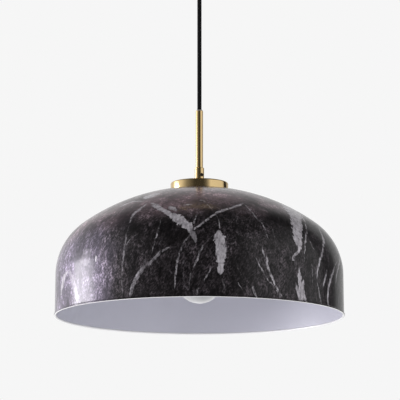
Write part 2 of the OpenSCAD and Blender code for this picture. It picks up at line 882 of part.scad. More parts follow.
module bulb_glass() {
    color("white") rotate_extrude() difference() {
        glass_outline(0);
        glass_outline(glass_t);
        translate([0, neck_z + neck_tuck - cut]) square([neck_r - glass_t, 2 * cut]);
    }
}

module bulb_cap() {
    shoulder_z = bulb_top_z - button_h - insulator_h;
    color("silver") rotate_extrude() difference() {
        union() {
            translate([0, lamp_cap_low_z]) square([lamp_cap_r, shoulder_z - lamp_cap_low_z]);
            translate([0, lamp_cap_low_z]) square([lamp_cap_r + flare_out, flare_h]);
        }
        translate([0, lamp_cap_low_z - cut])
            square([lamp_cap_r - lamp_cap_wall, shoulder_z - lamp_cap_low_z - lamp_cap_wall + cut]);
        translate([0, shoulder_z - 2 * cut]) square([insulator_r, 3 * cut]);
    }
}

module bulb_insulator() {
    shoulder_z = bulb_top_z - button_h - insulator_h;
    tuck = 0.6;
    color("black") rotate_extrude() polygon([
        [0, shoulder_z - tuck], [insulator_r - thread_fit, shoulder_z - tuck],
        [insulator_r - thread_fit, shoulder_z], [button_r + 1, bulb_top_z - button_h],
        [0, bulb_top_z - button_h]
    ]);
}

module bulb_contact() {
    color("silver") rod(button_r, bulb_top_z - button_h, bulb_top_z);
}

module bulb_mount() {
    flare_r = neck_r - glass_t - thread_fit;
    flare_z = neck_z + neck_tuck - 1;
    color("lightcyan") rotate_extrude() polygon([
        [0, flare_z], [flare_r, flare_z], [flare_r, flare_z - 1.2], [flare_r * 0.7, flare_z - 3],
        [mount_r * 1.4, flare_z - 10], [mount_r, flare_z - 14], [mount_r, mount_low_z], [0, mount_low_z]
    ]);
}

module bulb_filaments() {
    spider_r = filament_ring_r + filament_r;
    color("gold") {
        for (level = [spider_high_z, mount_low_z + spider_t]) {
            ring(spider_r, mount_r + thread_fit, level, level + spider_t);
        }
        for (k = [1 : filament_count]) {
            rotate([0, 0, (k + 0.5) * 360 / filament_count]) translate([filament_ring_r, 0, 0])
                rod(filament_r, mount_low_z + spider_t, spider_high_z + spider_t);
        }
    }
}

ceiling_bracket();
canopy();
canopy_screws();
grip_body();
grip_screw();
grip_washer();
grip_nut();
cord_top();
wire_live();
wire_neutral();
wire_earth();
terminal_block();
terminal_clamps();
terminal_screws();
block_screw();
earth_tag();
earth_screw();
cord();
stem_bush();
stem();
collar();
set_screw();
top_cap();
shade();
shade_washer();
lock_washer();
shade_nut();
holder_cap();
lock_screw();
cord_clamp();
clamp_screws();
cord_inner();
lead_live();
lead_neutral();
holder_core();
holder_terminals();
holder_screws();
holder_shell();
holder_contact();
holder_sleeve();
bulb_glass();
bulb_cap();
bulb_insulator();
bulb_contact();
bulb_mount();
bulb_filaments();
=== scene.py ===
"""Looks of the metal pendant light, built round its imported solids.

Metres, in the solids' own frame: the origin is on the ceiling, the lamp hangs along -Z and the
photographed side faces -Y. Surfaces are arrays of points made from a formula or from a profile
that goes round or along a path.
"""
import math

import bpy
import numpy as np
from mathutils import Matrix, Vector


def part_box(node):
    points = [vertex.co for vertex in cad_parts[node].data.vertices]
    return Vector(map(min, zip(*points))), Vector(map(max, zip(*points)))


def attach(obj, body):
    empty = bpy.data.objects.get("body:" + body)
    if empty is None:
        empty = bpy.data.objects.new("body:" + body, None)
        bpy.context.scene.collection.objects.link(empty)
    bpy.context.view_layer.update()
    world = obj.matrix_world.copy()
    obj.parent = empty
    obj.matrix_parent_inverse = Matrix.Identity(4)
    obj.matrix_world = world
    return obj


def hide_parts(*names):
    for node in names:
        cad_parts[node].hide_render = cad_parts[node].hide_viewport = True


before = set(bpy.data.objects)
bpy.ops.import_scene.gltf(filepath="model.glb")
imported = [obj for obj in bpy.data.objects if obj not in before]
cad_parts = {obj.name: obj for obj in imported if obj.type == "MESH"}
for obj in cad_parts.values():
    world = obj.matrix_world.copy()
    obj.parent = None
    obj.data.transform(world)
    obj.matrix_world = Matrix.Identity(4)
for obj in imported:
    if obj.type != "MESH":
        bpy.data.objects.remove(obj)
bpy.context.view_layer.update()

TAU = 2 * math.pi
MM_PER_M = 1000


def put_in_scene(name, data):
    """Object of the given data, linked to the scene at the origin."""
    thing = bpy.data.objects.new(name, data)
    bpy.context.collection.objects.link(thing)
    return thing


# Camera

# Width of the picture in points, sensor and lens, and where the camera stands and how it tilts up
PICTURE = 400
SENSOR = 0.036
LENS = 0.2637
EYE = np.array([0.0008, -4.0, -1.0336])
PITCH = math.radians(9.84)
RIGHT = np.array([1, 0, 0])
AHEAD = np.array([0, math.cos(PITCH), math.sin(PITCH)])
UPWARD = np.array([0, -math.sin(PITCH), math.cos(PITCH)])


def add_camera():
    """Camera at the photograph's place, which looks along +Y and up by the pitch."""
    view = bpy.data.cameras.new("view")
    view.sensor_width = SENSOR * MM_PER_M
    view.lens = LENS * MM_PER_M
    camera = put_in_scene("view", view)
    camera.location = EYE
    camera.rotation_euler = (math.pi / 2 + PITCH, 0, 0)
    bpy.context.scene.camera = camera
    bpy.context.scene.view_settings.view_transform = "Standard"


add_camera()


def sight(u, v):
    """Direction of the line of sight through picture point (u, v): ahead + right u' + up v'."""
    scale = SENSOR / PICTURE / LENS
    way = AHEAD + RIGHT * (u - PICTURE / 2) * scale + UPWARD * (PICTURE / 2 - v) * scale
    return way / np.linalg.norm(way)


# Sizes shared with the solids

# Dome: radii of its two arcs, lean of its skirt, radius over the rim, height, sheet, bead, how far
# the bead stands out, flat seat, and the hole for the tube
CROWN_R, SHOULDER_R, TAPER = 0.2777, 0.0853, math.radians(0.52)
SHADE_R, SHADE_H, WALL = 0.2, 0.1784, 0.0012
BEAD_R, BEAD_OUT, SEAT_R, BORE_R = 0.0015, 0.0011, 0.022, 0.0052
rim_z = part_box("shade")[0].z
crown_z = rim_z + SHADE_H

# Cord: radius, the pivot in the grip, the two ends of the free piece, and its points' spacing
CORD_R, PIVOT_Z, CORD_EXIT_Z, CORD_END_Z, CORD_DROP = 0.003, -0.044, -0.0447, -0.2123, 0.012

# Connector: its middle, the height of its poles, their spacing, and its screw towers. Then the
# radius of the cores in the canopy and in the holder
BLOCK_X, POLE_Z, POLE_PITCH, TOWER_X = 0.017, -0.0055, 0.01, 0.0045
WIRE_R, LEAD_R = 0.001, 0.0009


# Mesh tools

def piece(name, node, body, slot, points, faces, materials=None, pick=None, crease=32):
    """One mesh object at the origin that rides a body and stands for a node of the solids. faces is
    a list of arrays of point numbers, 3 or 4 a row. They are turned round where the enclosed
    volume, the sum of a . (b x c) / 6, is negative. pick holds each face's material number."""
    points = np.asarray(points, float)
    volume = 0.0
    for rows in faces:
        for k in range(1, rows.shape[1] - 1):
            a, b, c = points[rows[:, 0]], points[rows[:, k]], points[rows[:, k + 1]]
            volume += np.einsum("ij,ij->", a, np.cross(b, c)) / 6
    if volume < 0:
        faces = [rows[:, ::-1] for rows in faces]
    mesh = bpy.data.meshes.new(name)
    mesh.vertices.add(len(points))
    mesh.vertices.foreach_set("co", points.ravel())
    corners = np.concatenate([rows.ravel() for rows in faces])
    counts = np.concatenate([np.full(len(rows), rows.shape[1]) for rows in faces])
    mesh.loops.add(len(corners))
    mesh.loops.foreach_set("vertex_index", corners)
    mesh.polygons.add(len(counts))
    mesh.polygons.foreach_set("loop_start", np.concatenate([[0], np.cumsum(counts)[:-1]]))
    mesh.update(calc_edges=True)
    mesh.validate()
    mesh.shade_smooth()
    mesh.set_sharp_from_angle(angle=math.radians(crease))
    for material in materials or [FINISHES[slot]]:
        mesh.materials.append(material)
    if pick is not None:
        mesh.polygons.foreach_set("material_index", pick.astype(np.int32))
    thing = put_in_scene(name, mesh)
    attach(thing, body)
    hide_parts(node)
    return thing


def carry(thing, name, triples):
    """Stores three numbers for each point of the mesh."""
    store = thing.data.attributes.new(name, "FLOAT_VECTOR", "POINT")
    store.data.foreach_set("vector", np.ascontiguousarray(triples, np.float32).ravel())


def numbered(grid):
    """Point numbers of a grid, in its rows."""
    return np.arange(grid.shape[0] * grid.shape[1]).reshape(grid.shape[:2])


def quads(low, high):
    """Faces between rows of point numbers and the rows after them. Each row closes on itself."""
    return np.stack([low, np.roll(low, -1, 1), np.roll(high, -1, 1), high], -1).reshape(-1, 4)


def skin(grid, ring=False):
    """Points and faces of a grid of rows that each close on themselves. ring joins the last row to
    the first; otherwise a fan to the row's middle closes each end."""
    at = numbered(grid)
    points = grid.reshape(-1, 3)
    if ring:
        return points, [quads(at, np.roll(at, -1, 0))]
    count, around = at.size, at.shape[1]
    points = np.vstack([points, grid[0].mean(0), grid[-1].mean(0)])
    first, last = at[0], at[-1]
    fans = np.vstack([
        np.stack([np.full(around, count), np.roll(first, -1), first], -1),
        np.stack([np.full(around, count + 1), last, np.roll(last, -1)], -1),
    ])
    return points, [quads(at[:-1], at[1:]), fans]


def about_axis(r, angle, z):
    """Points by their radius, angle from the front and height: (r sin a, -r cos a, z)."""
    return np.stack(np.broadcast_arrays(r * np.sin(angle), -r * np.cos(angle), z), -1)


def full_turn(count):
    """Row of evenly spaced angles, once round."""
    return np.arange(count)[None] * TAU / count


def turned(profile, around):
    """Grid of a profile of (radius, height) points turned about Z."""
    profile = np.asarray(profile, float)
    return about_axis(profile[:, :1], full_turn(around), profile[:, 1:2])


def arc(centre, r, start, end, count):
    """Points (centre + r cos t, centre + r sin t), with t in degrees from start to end."""
    t = np.radians(np.linspace(start, end, count))
    return np.stack([centre[0] + r * np.cos(t), centre[1] + r * np.sin(t)], -1)


def bearing(centre, point):
    """Direction of a point of a profile from a centre, in degrees: atan2(z - z0, r - r0)."""
    return math.degrees(math.atan2(point[1] - centre[1], point[0] - centre[0]))


def rounded(corners, count):
    """Closed profile with each corner (r, z, fillet) replaced by count points of its tangent arc."""
    corners = np.asarray(corners, float)
    points = []
    for k, (r, z, fillet) in enumerate(corners):
        here = np.array([r, z])
        if fillet <= 0:
            points.append(here[None])
            continue
        before = corners[k - 1, :2] - here
        after = corners[(k + 1) % len(corners), :2] - here
        before, after = before / np.linalg.norm(before), after / np.linalg.norm(after)
        half = math.acos(np.clip(before @ after, -1, 1)) / 2
        reach = fillet / math.tan(half)
        middle = here + (before + after) / np.linalg.norm(before + after) * fillet / math.sin(half)
        a, b = here + before * reach - middle, here + after * reach - middle
        turn = math.atan2(a[0] * b[1] - a[1] * b[0], a @ b)
        t = np.linspace(0, turn, count)
        points.append(middle + np.stack([
            a[0] * np.cos(t) - a[1] * np.sin(t), a[0] * np.sin(t) + a[1] * np.cos(t)], -1))
    return np.concatenate(points)


def smooth(points, each):
    """Points on a cubic curve through the given points, each steps to a span. Its slope at a point
    is half the step between the point's neighbours."""
    p = np.asarray(points, float)
    p = np.vstack([2 * p[0] - p[1], p, 2 * p[-1] - p[-2]])
    t = np.linspace(0, 1, each, endpoint=False)[:, None]
    out = []
    for a, b, c, d in zip(p, p[1:], p[2:], p[3:]):
        out.append(0.5 * (2 * b + (c - a) * t + (2 * a - 5 * b + 4 * c - d) * t**2
                          + (3 * b - a - 3 * c + d) * t**3))
    return np.vstack(out + [p[-2:-1]])


def swept(route, radius, around):
    """Grid of a round tube: route(s) + radius (cos a U(s) + sin a V(s)), U and V carried along."""
    route = np.asarray(route, float)
    along = np.gradient(route, axis=0)
    along /= np.linalg.norm(along, axis=1)[:, None]
    # The first U is square to the route and to a direction that no route takes
    u = np.cross(along[0], (0.31, 0.57, 0.76))
    angle = full_turn(around).T
    rows = []
    for point, way in zip(route, along):
        u = u - way * (u @ way)
        u /= np.linalg.norm(u)
        v = np.cross(way, u)
        rows.append(point + radius * (np.cos(angle) * u + np.sin(angle) * v))
    return np.array(rows)


# Material tools

class Graph:
    """Short calls for a tree's nodes. A number given for a socket is set on it, and another node's
    socket is linked to it."""

    def __init__(self, tree):
        self.tree = tree

    def add(self, kind, **settings):
        """New node with the given settings."""
        node = self.tree.nodes.new(kind)
        for key, value in settings.items():
            setattr(node, key, value)
        return node

    def put(self, socket, value):
        """Links or sets one socket."""
        if isinstance(value, bpy.types.NodeSocket):
            self.tree.links.new(value, socket)
        else:
            socket.default_value = value

    def fed(self, kind, *values, **settings):
        """First output of a new node whose first inputs are the given values."""
        node = self.add(kind, **settings)
        for socket, value in zip(node.inputs, values):
            self.put(socket, value)
        return node.outputs[0]

    def math(self, operation, *numbers):
        """Arithmetic on one, two or three numbers."""
        return self.fed("ShaderNodeMath", *numbers, operation=operation)

    def over(self, operation, numbers):
        """An operation on two numbers, carried over all of the given ones."""
        result = numbers[0]
        for number in numbers[1:]:
            result = self.math(operation, result, number)
        return result

    def product(self, *numbers):
        """All the numbers multiplied."""
        return self.over("MULTIPLY", numbers)

    def total(self, *numbers):
        """All the numbers added."""
        return self.over("ADD", numbers)

    def largest(self, *numbers):
        """The largest of the numbers."""
        return self.over("MAXIMUM", numbers)

    def scaled(self, number, factor, offset):
        """A number times a factor, plus an offset."""
        return self.math("MULTIPLY_ADD", number, factor, offset)

    def triple(self, operation, a, b):
        """Arithmetic on vectors or colours."""
        return self.fed("ShaderNodeVectorMath", a, b, operation=operation)

    def blend(self, a, share_a, b, share_b):
        """Sum of two numbers, each times its share."""
        return self.total(self.product(a, share_a), self.product(b, share_b))

    def span(self, value, low, high, out_low=0.0, out_high=1.0):
        """Smooth step from out_low at low to out_high at high."""
        node = self.add("ShaderNodeMapRange", interpolation_type="SMOOTHSTEP")
        for key, given in zip(("Value", "From Min", "From Max", "To Min", "To Max"),
                              (value, low, high, out_low, out_high)):
            self.put(node.inputs[key], given)
        return node.outputs["Result"]

    def mix(self, share, a, b):
        """Colour between a at share 0 and b at share 1."""
        node = self.add("ShaderNodeMix", data_type="RGBA")
        first_colour, second_colour, result = 6, 7, 2
        self.put(node.inputs["Factor"], share)
        self.put(node.inputs[first_colour], a)
        self.put(node.inputs[second_colour], b)
        return node.outputs[result]

    def ramp(self, value, *stops):
        """Colour by a value, through stops of (position, colour)."""
        node = self.add("ShaderNodeValToRGB")
        self.put(node.inputs[0], value)
        while len(node.color_ramp.elements) < len(stops):
            node.color_ramp.elements.new(1)
        for element, (at, colour) in zip(node.color_ramp.elements, stops):
            element.position = at
            element.color = (*colour, 1)
        return node.outputs[0]

    def attribute(self, name):
        """The three numbers that the mesh's points carry under a name."""
        return self.split(self.add("ShaderNodeAttribute", attribute_name=name).outputs["Vector"])

    def split(self, vector):
        """The three numbers of a vector."""
        node = self.add("ShaderNodeSeparateXYZ")
        self.put(node.inputs[0], vector)
        return tuple(node.outputs)

    def bump(self, height, depth, strength=1.0):
        """Normal of a surface that a height lifts by up to a depth."""
        node = self.add("ShaderNodeBump")
        self.put(node.inputs["Height"], height)
        node.inputs["Distance"].default_value = depth
        node.inputs["Strength"].default_value = strength
        return node.outputs[0]


class Finish(Graph):
    """A new material with its shader and the piece's object coordinates."""

    def __init__(self, name):
        self.material = bpy.data.materials.new(name)
        self.material.use_nodes = True
        super().__init__(self.material.node_tree)
        self.shader = self.tree.nodes["Principled BSDF"]
        self.place = self.add("ShaderNodeTexCoord").outputs["Object"]

    def set(self, **values):
        """Sets or links the shader's sockets, named with _ for a space."""
        for key, value in values.items():
            self.put(self.shader.inputs[key.replace("_", " ")], value)

    def stretch(self, scale, turn=(0, 0, 0), source=None):
        """Coordinates scaled along each axis and then turned."""
        node = self.add("ShaderNodeMapping")
        self.put(node.inputs["Vector"], source or self.place)
        node.inputs["Scale"].default_value = scale
        node.inputs["Rotation"].default_value = turn
        return node.outputs[0]

    def noise(self, scale, detail=3.0, rough=0.5, source=None, warp=0.0, out="Fac"):
        """Cloudy noise, mostly between NOISE_LOW and NOISE_HIGH."""
        node = self.add("ShaderNodeTexNoise")
        self.put(node.inputs["Vector"], source or self.place)
        for key, value in zip(("Scale", "Detail", "Roughness", "Distortion"), (scale, detail, rough, warp)):
            node.inputs[key].default_value = value
        return node.outputs[out]


# Finishes

# Most of a noise lies between the first two values, and the bulk of it in its core
NOISE_LOW, NOISE_HIGH, CORE = 0.3, 0.7, (0.36, 0.64)
FINISHES = {}


def shade_of(colour, factor):
    """A colour made darker or lighter."""
    return tuple(min(1, c * factor) for c in colour)


def finish(name, colour, rough, metal=0.0, grain=600, stretch=(1, 1, 1), vary=0.12, vary_rough=0.06,
           depth=0.00002, detail=4.0, cloud=40, **extra):
    """A plain finish with grain: colour and roughness drift with a large and a fine noise, and the
    fine one stands up as a bump of the given depth."""
    g = Finish(name)
    fine_share, smoothest = 0.6, 0.02
    fine = g.noise(grain, detail, rough=0.6, source=g.stretch(stretch))
    both = g.blend(fine, fine_share, g.noise(cloud, detail=2.0), 1 - fine_share)
    g.set(Base_Color=g.ramp(both, (NOISE_LOW, shade_of(colour, 1 - vary)),
                            (NOISE_HIGH, shade_of(colour, 1 + vary))))
    g.set(Roughness=g.span(fine, NOISE_LOW, NOISE_HIGH, max(smoothest, rough - vary_rough),
                           rough + vary_rough))
    g.set(Metallic=metal, Normal=g.bump(fine, depth), **extra)
    FINISHES[name] = g.material


finish("brass", (0.86, 0.635, 0.32), 0.14, metal=1.0, grain=900, stretch=(0.6, 0.6, 5), vary=0.05,
       vary_rough=0.03, depth=0.000003)
finish("raw_brass", (0.78, 0.57, 0.27), 0.34, metal=1.0, grain=700, stretch=(1, 1, 3), vary=0.14,
       vary_rough=0.08)
finish("steel", (0.62, 0.63, 0.65), 0.32, metal=1.0, grain=800, vary_rough=0.09)
finish("dark_steel", (0.045, 0.037, 0.03), 0.4, metal=1.0, grain=900, vary=0.2, vary_rough=0.08)
finish("bronze", (0.74, 0.42, 0.22), 0.33, metal=1.0, grain=900, vary_rough=0.08)
finish("aluminium", (0.83, 0.83, 0.84), 0.26, metal=1.0, grain=900, stretch=(1, 1, 3), vary=0.07,
       vary_rough=0.07)
finish("textile", (0.006, 0.006, 0.0068), 0.86, grain=5200, stretch=(1, 1, 0.5), vary=0.45,
       depth=0.00006, detail=5.0, cloud=300, Sheen_Weight=0.07, Sheen_Roughness=0.4,
       Specular_IOR_Level=0.1)
finish("nylon", (0.27, 0.255, 0.24), 0.42, grain=1500, vary=0.1, depth=0.00001)
finish("white_plastic", (0.78, 0.77, 0.74), 0.36, grain=700, vary=0.04)
finish("phenolic", (0.018, 0.017, 0.017), 0.26, grain=1100, vary=0.3, vary_rough=0.07)
finish("ceramic", (0.8, 0.78, 0.72), 0.22, grain=500, vary=0.05, vary_rough=0.05)
finish("clear_glass", (0.95, 0.97, 0.97), 0.04, grain=300, vary=0.02, vary_rough=0.01,
       depth=0.000002, Transmission_Weight=1.0, IOR=1.5)
finish("black_glass", (0.012, 0.011, 0.014), 0.1, grain=900, vary=0.25, vary_rough=0.04)
finish("opal_glass", (0.3, 0.304, 0.302), 0.12, grain=220, vary=0.015, vary_rough=0.03,
       depth=0.000003, IOR=1.5, Sheen_Weight=1.0, Sheen_Roughness=0.45, Coat_Weight=1.0,
       Coat_IOR=1.7, Coat_Roughness=0.03)
finish("filament", (0.95, 0.62, 0.12), 0.5, grain=2500, stretch=(1, 1, 0.3), vary=0.15, vary_rough=0.08)
finish("brown_core", (0.16, 0.062, 0.026), 0.4, grain=1300, vary_rough=0.05)
finish("blue_core", (0.03, 0.12, 0.42), 0.4, grain=1300, vary=0.1, vary_rough=0.05)


def earth_core():
    """Green wire with yellow stripes that go round it: stripe = smooth step of sin(k (x + z))."""
    g = Finish("earth_core")
    radians_per_m = 1500.0
    x, _, z = g.split(g.place)
    wave = g.math("SINE", g.product(g.total(x, z), radians_per_m))
    stripe = g.span(wave, 0.1, 0.3)
    speck = g.noise(1500, detail=2.0)
    green = g.ramp(speck, (NOISE_LOW, (0.04, 0.22, 0.045)), (NOISE_HIGH, (0.055, 0.28, 0.06)))
    yellow = g.ramp(speck, (NOISE_LOW, (0.72, 0.56, 0.03)), (NOISE_HIGH, (0.82, 0.66, 0.05)))
    g.set(Base_Color=g.mix(stripe, green, yellow), Roughness=0.4)
    FINISHES["green_core"] = g.material


earth_core()


# Dark and light tones of the enamel inside the dome, and the lighter tones on its bead, which paint the
# light that the bead catches from below
LILAC_TONES = (0.562, 0.562, 0.624), (0.582, 0.582, 0.648)
BEAD_PAINTED_LIGHT_TONES = (0.8, 0.8, 0.79), (0.84, 0.84, 0.83)


def enamel(name, dark, light):
    """Pale baked enamel, between two tones, with a faint orange peel."""
    g = Finish(name)
    peel = g.noise(330, detail=2.0)
    cloud = g.noise(14)
    g.set(Base_Color=g.ramp(cloud, (NOISE_LOW, dark), (NOISE_HIGH, light)))
    g.set(Roughness=g.span(cloud, NOISE_LOW, NOISE_HIGH, 0.34, 0.42), Normal=g.bump(peel, 0.00004, 0.6))
    g.set(Coat_Weight=1.0, Coat_Roughness=0.25, Coat_IOR=1.8)
    return g.material


# Marble print

# Tones of the stone from its black ground to its lightest specks, of the inside of a vein from its
# pits to its bright grains, and of a hair crack
GROUND_TONES = ((0.0, (0.004, 0.0037, 0.0039)), (0.3, (0.0145, 0.0133, 0.0142)),
                (0.6, (0.044, 0.0402, 0.0436)), (1.0, (0.145, 0.1325, 0.1445)))
VEIN_TONES = ((0.32, (0.13, 0.121, 0.132)), (0.46, (0.345, 0.325, 0.35)), (0.66, (0.6, 0.57, 0.61)))
CRACK_TONE = (0.15, 0.138, 0.153, 1)

# How the plain stone is tinted, and how the painted highlight glow at the front left and the painted
# reflection haze on the front of the crown are tinted, lightened and veiled
PLAIN_TINT, GLOW_PAINT_TINT, CROWN_HAZE_PAINT_TINT = (1.03, 0.94, 0.98, 1), (1.02, 0.94, 1.15, 1), (1.14, 0.84, 0.9, 1)
GLOW_PAINT_GAIN, CROWN_HAZE_PAINT_GAIN = 2.7, 2.3
NO_HAZE, GLOW_PAINT_HAZE, CROWN_PAINTED_HAZE = (0, 0, 0, 1), (0.03, 0.026, 0.038, 1), (0.073, 0.05, 0.057, 1)
VEIN_SETS = 6


def painted_light_zones(g, cloud):
    """How far a point lies in the front left, where a light lilac highlight glow is painted, and on the
    front of the crown, where a pink reflection haze is painted, 0 to 1 each. The clouds make their edges
    wander, and the crown's edge falls towards the left."""
    most_wander, crown_wander, left_slope, right_slope = 0.09, 0.3, -0.13, -0.03
    front_y, glow_x, crown_rise = (0.085, -0.035), (-0.094, -0.14), (rim_z + 0.106, rim_z + 0.147)
    x, y, z = g.split(g.place)
    wander = g.product(g.math("SUBTRACT", cloud, 0.5), most_wander)
    # Both zones of painted glow and haze keep to the front
    front = g.span(g.total(y, wander), *front_y)
    painted_glow = g.product(g.span(g.total(x, wander), *glow_x), front)
    # The crown zone is where a pink reflection haze is painted; its edge falls towards the left
    slope = g.largest(g.product(x, left_slope), g.product(x, right_slope))
    rise = g.scaled(wander, crown_wander, g.total(z, slope))
    return painted_glow, g.product(g.span(rise, *crown_rise), front)


def marble_ground(g, level, cloud, patch):
    """Colour of the ground at a level from 0 to 1, lightened and tinted where the highlight glow and the
    crown's reflection haze are painted, with a thin painted haze over those zones.
    """
    painted_glow, crown = painted_light_zones(g, cloud)
    tint = g.mix(crown, g.mix(painted_glow, PLAIN_TINT, GLOW_PAINT_TINT), CROWN_HAZE_PAINT_TINT)
    blotch = g.span(patch, *CORE, 0.65, 1.3)
    # Painted highlight glow and reflection haze: the ground is lightened in both zones
    gain = g.largest(g.product(painted_glow, GLOW_PAINT_GAIN), g.product(crown, CROWN_HAZE_PAINT_GAIN))
    gain = g.scaled(gain, blotch, 1.0)
    ground = g.triple("MULTIPLY", g.triple("MULTIPLY", g.ramp(level, *GROUND_TONES), tint), gain)
    veil = g.span(cloud, *CORE, 0.5, 1.4)
    haze = g.mix(crown, g.mix(painted_glow, NO_HAZE, GLOW_PAINT_HAZE), CROWN_PAINTED_HAZE)
    return g.triple("ADD", ground, g.triple("MULTIPLY", haze, veil))


def hair_cracks(g, grain, patch, mottle):
    """Strength of the stone's thin, broken cracks: edges of cells that a noise bends, kept where
    the patches and the mottling are strong."""
    bend, cells_per_m, crack_width, strength = 0.045, 28, 0.018, 0.6
    bent = g.triple("MULTIPLY", g.noise(30, source=grain, out="Color"), (bend, bend, bend))
    cells = g.add("ShaderNodeTexVoronoi", feature="DISTANCE_TO_EDGE")
    g.put(cells.inputs["Vector"], g.triple("ADD", g.stretch((1, 1, 0.4), turn=(0.2, 0.1, 0)), bent))
    cells.inputs["Scale"].default_value = cells_per_m
    edge = g.span(cells.outputs["Distance"], 0.0, crack_width, 1.0, 0.0)
    kept = g.product(g.span(patch, 0.46, 0.6), g.span(mottle, 0.42, 0.58))
    return g.product(edge, kept, strength)


def vein_share(g, grain):
    """How much of a vein a point has, 0 to 1. Each set of veins is carried as a signed distance, a
    half width and a strength. A fine and a broad noise make the edge wander, by a share of the half
    width and a least distance each, and thin veins are broken up."""
    fray_share, fray_least, fray_gain, drift_share, drift_least = 0.34, 0.00045, 3.4, 0.9, 0.0036
    edge_out, edge_in, gap_healing, nick_healing = -0.0004, 0.0006, 90.0, 50.0
    fray = g.noise(300, detail=5.0, rough=0.66, source=grain)
    drift = g.math("SUBTRACT", g.noise(150, rough=0.6), 0.5)
    broken = g.noise(150, detail=4.0, rough=0.7, source=grain)
    shares = []
    for k in range(VEIN_SETS):
        away, half, strength = g.attribute("vein_%d" % k)
        reach = g.scaled(half, fray_share, fray_least)
        sway = g.product(g.math("SUBTRACT", fray, 0.5), fray_gain, reach)
        swerve = g.product(drift, g.scaled(half, drift_share, drift_least))
        offset = g.math("ABSOLUTE", g.total(away, sway, swerve))
        inside = g.span(g.math("SUBTRACT", half, offset), edge_out, edge_in)
        gaps = g.span(g.scaled(half, gap_healing, broken), 0.5, 0.68, 0.15, 1.0)
        nicks = g.span(g.scaled(half, nick_healing, fray), 0.42, 0.6, 0.4, 1.0)
        shares.append(g.product(inside, strength, gaps, nicks))
    return g.largest(*shares)


def marble():
    """Black marble print on bright metal under clear lacquer. Four noises, from clouds to specks, give the
    ground. It is painted lighter and more lilac at the front left, as the glow round a highlight, and
    pinker on the front of the crown, as a reflection haze. Hair cracks and veins lie over it, and the
    inside of a vein is granular."""
    g = Finish("marble")
    grain = g.stretch((1, 1, 0.5), turn=(0, 0.12, 0))
    leaning = g.stretch((1, 1, 0.45), source=g.stretch((1, 1, 1), turn=(0, -0.6, 0)))
    cloud = g.noise(21, rough=0.6, source=grain, warp=0.3)
    patch = g.noise(62, detail=4.0, rough=0.66, source=grain, warp=0.1)
    mottle = g.noise(215, detail=5.0, rough=0.7, source=grain)
    speck = g.noise(560, rough=0.65, source=leaning)

    tone = g.blend(g.span(cloud, 0.33, 0.67), 0.45, g.span(patch, 0.34, 0.66), 0.55)
    coarse = g.product(g.span(mottle, *CORE), g.scaled(tone, 0.8, 0.2))
    fine = g.product(g.span(speck, 0.44, 0.58), g.scaled(tone, 0.7, 0.3))
    level = g.blend(coarse, 0.52, fine, 0.5)
    ground = marble_ground(g, level, cloud, patch)
    ground = g.mix(hair_cracks(g, grain, patch, mottle), ground, CRACK_TONE)
    stone = g.ramp(g.noise(250, detail=5.0, rough=0.75, source=grain), *VEIN_TONES)

    g.set(Base_Color=g.mix(vein_share(g, grain), ground, stone), Metallic=0.35, Specular_IOR_Level=0.1)
    g.set(Roughness=g.span(mottle, NOISE_LOW, NOISE_HIGH, 0.4, 0.52), Normal=g.bump(mottle, 0.0001, 0.6))
    g.set(Coat_Weight=g.span(level, 0.05, 0.4, 0.7, 1.0), Coat_Roughness=0.17, Coat_IOR=1.32)
    return g.material


# Cord

def hump(turns):
    """Round strand across one turn of its family: sqrt(1 - (2 t - 1)^2), with t from 0 to 1."""
    return np.sqrt(np.clip(1 - (2 * (turns % 1) - 1) ** 2, 0, 1))


def braided(top_z, low_z, around, step):
    """Closed braided tube on the axis: r(a, z) = R - depth (1 - height). Two families of strands
    wind at a + kz and a - kz; each is a round hump, and the families take turns on top."""
    strands, slope, depth, under = 16, math.tan(math.radians(52)), 0.00022, 0.45
    z = np.linspace(top_z, low_z, round((top_z - low_z) / step))[:, None]
    angle = full_turn(around)
    lay = strands / TAU / CORD_R / slope
    right = strands * angle / TAU + z * lay
    left = strands * angle / TAU - z * lay
    over = (np.floor(right) + np.floor(left)) % 2
    height = np.maximum(hump(right) * (under + (1 - under) * over), hump(left) * (1 - (1 - under) * over))
    return skin(about_axis(CORD_R - depth * (1 - height), angle, z))


def add_cords():
    """The free cord between its two pivots, and its clamped pieces in the grip and in the tube."""
    route = [(0, 0, CORD_EXIT_Z)] + [(0, 0, PIVOT_Z - CORD_DROP * k) for k in range(1, 14)]
    route.append((0, 0, CORD_END_Z))
    cord = piece("cord_braid", "cord", "cord", "textile",
                 *braided(CORD_EXIT_Z, CORD_END_Z, around=96, step=0.00032), crease=180)
    for name, node, body in (("cord_braid_top", "cord_top", "ceiling"),
                             ("cord_braid_inner", "cord_inner", "lamp")):
        low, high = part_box(node)
        piece(name, node, body, "textile", *braided(high.z, low.z, around=64, step=0.0006), crease=180)


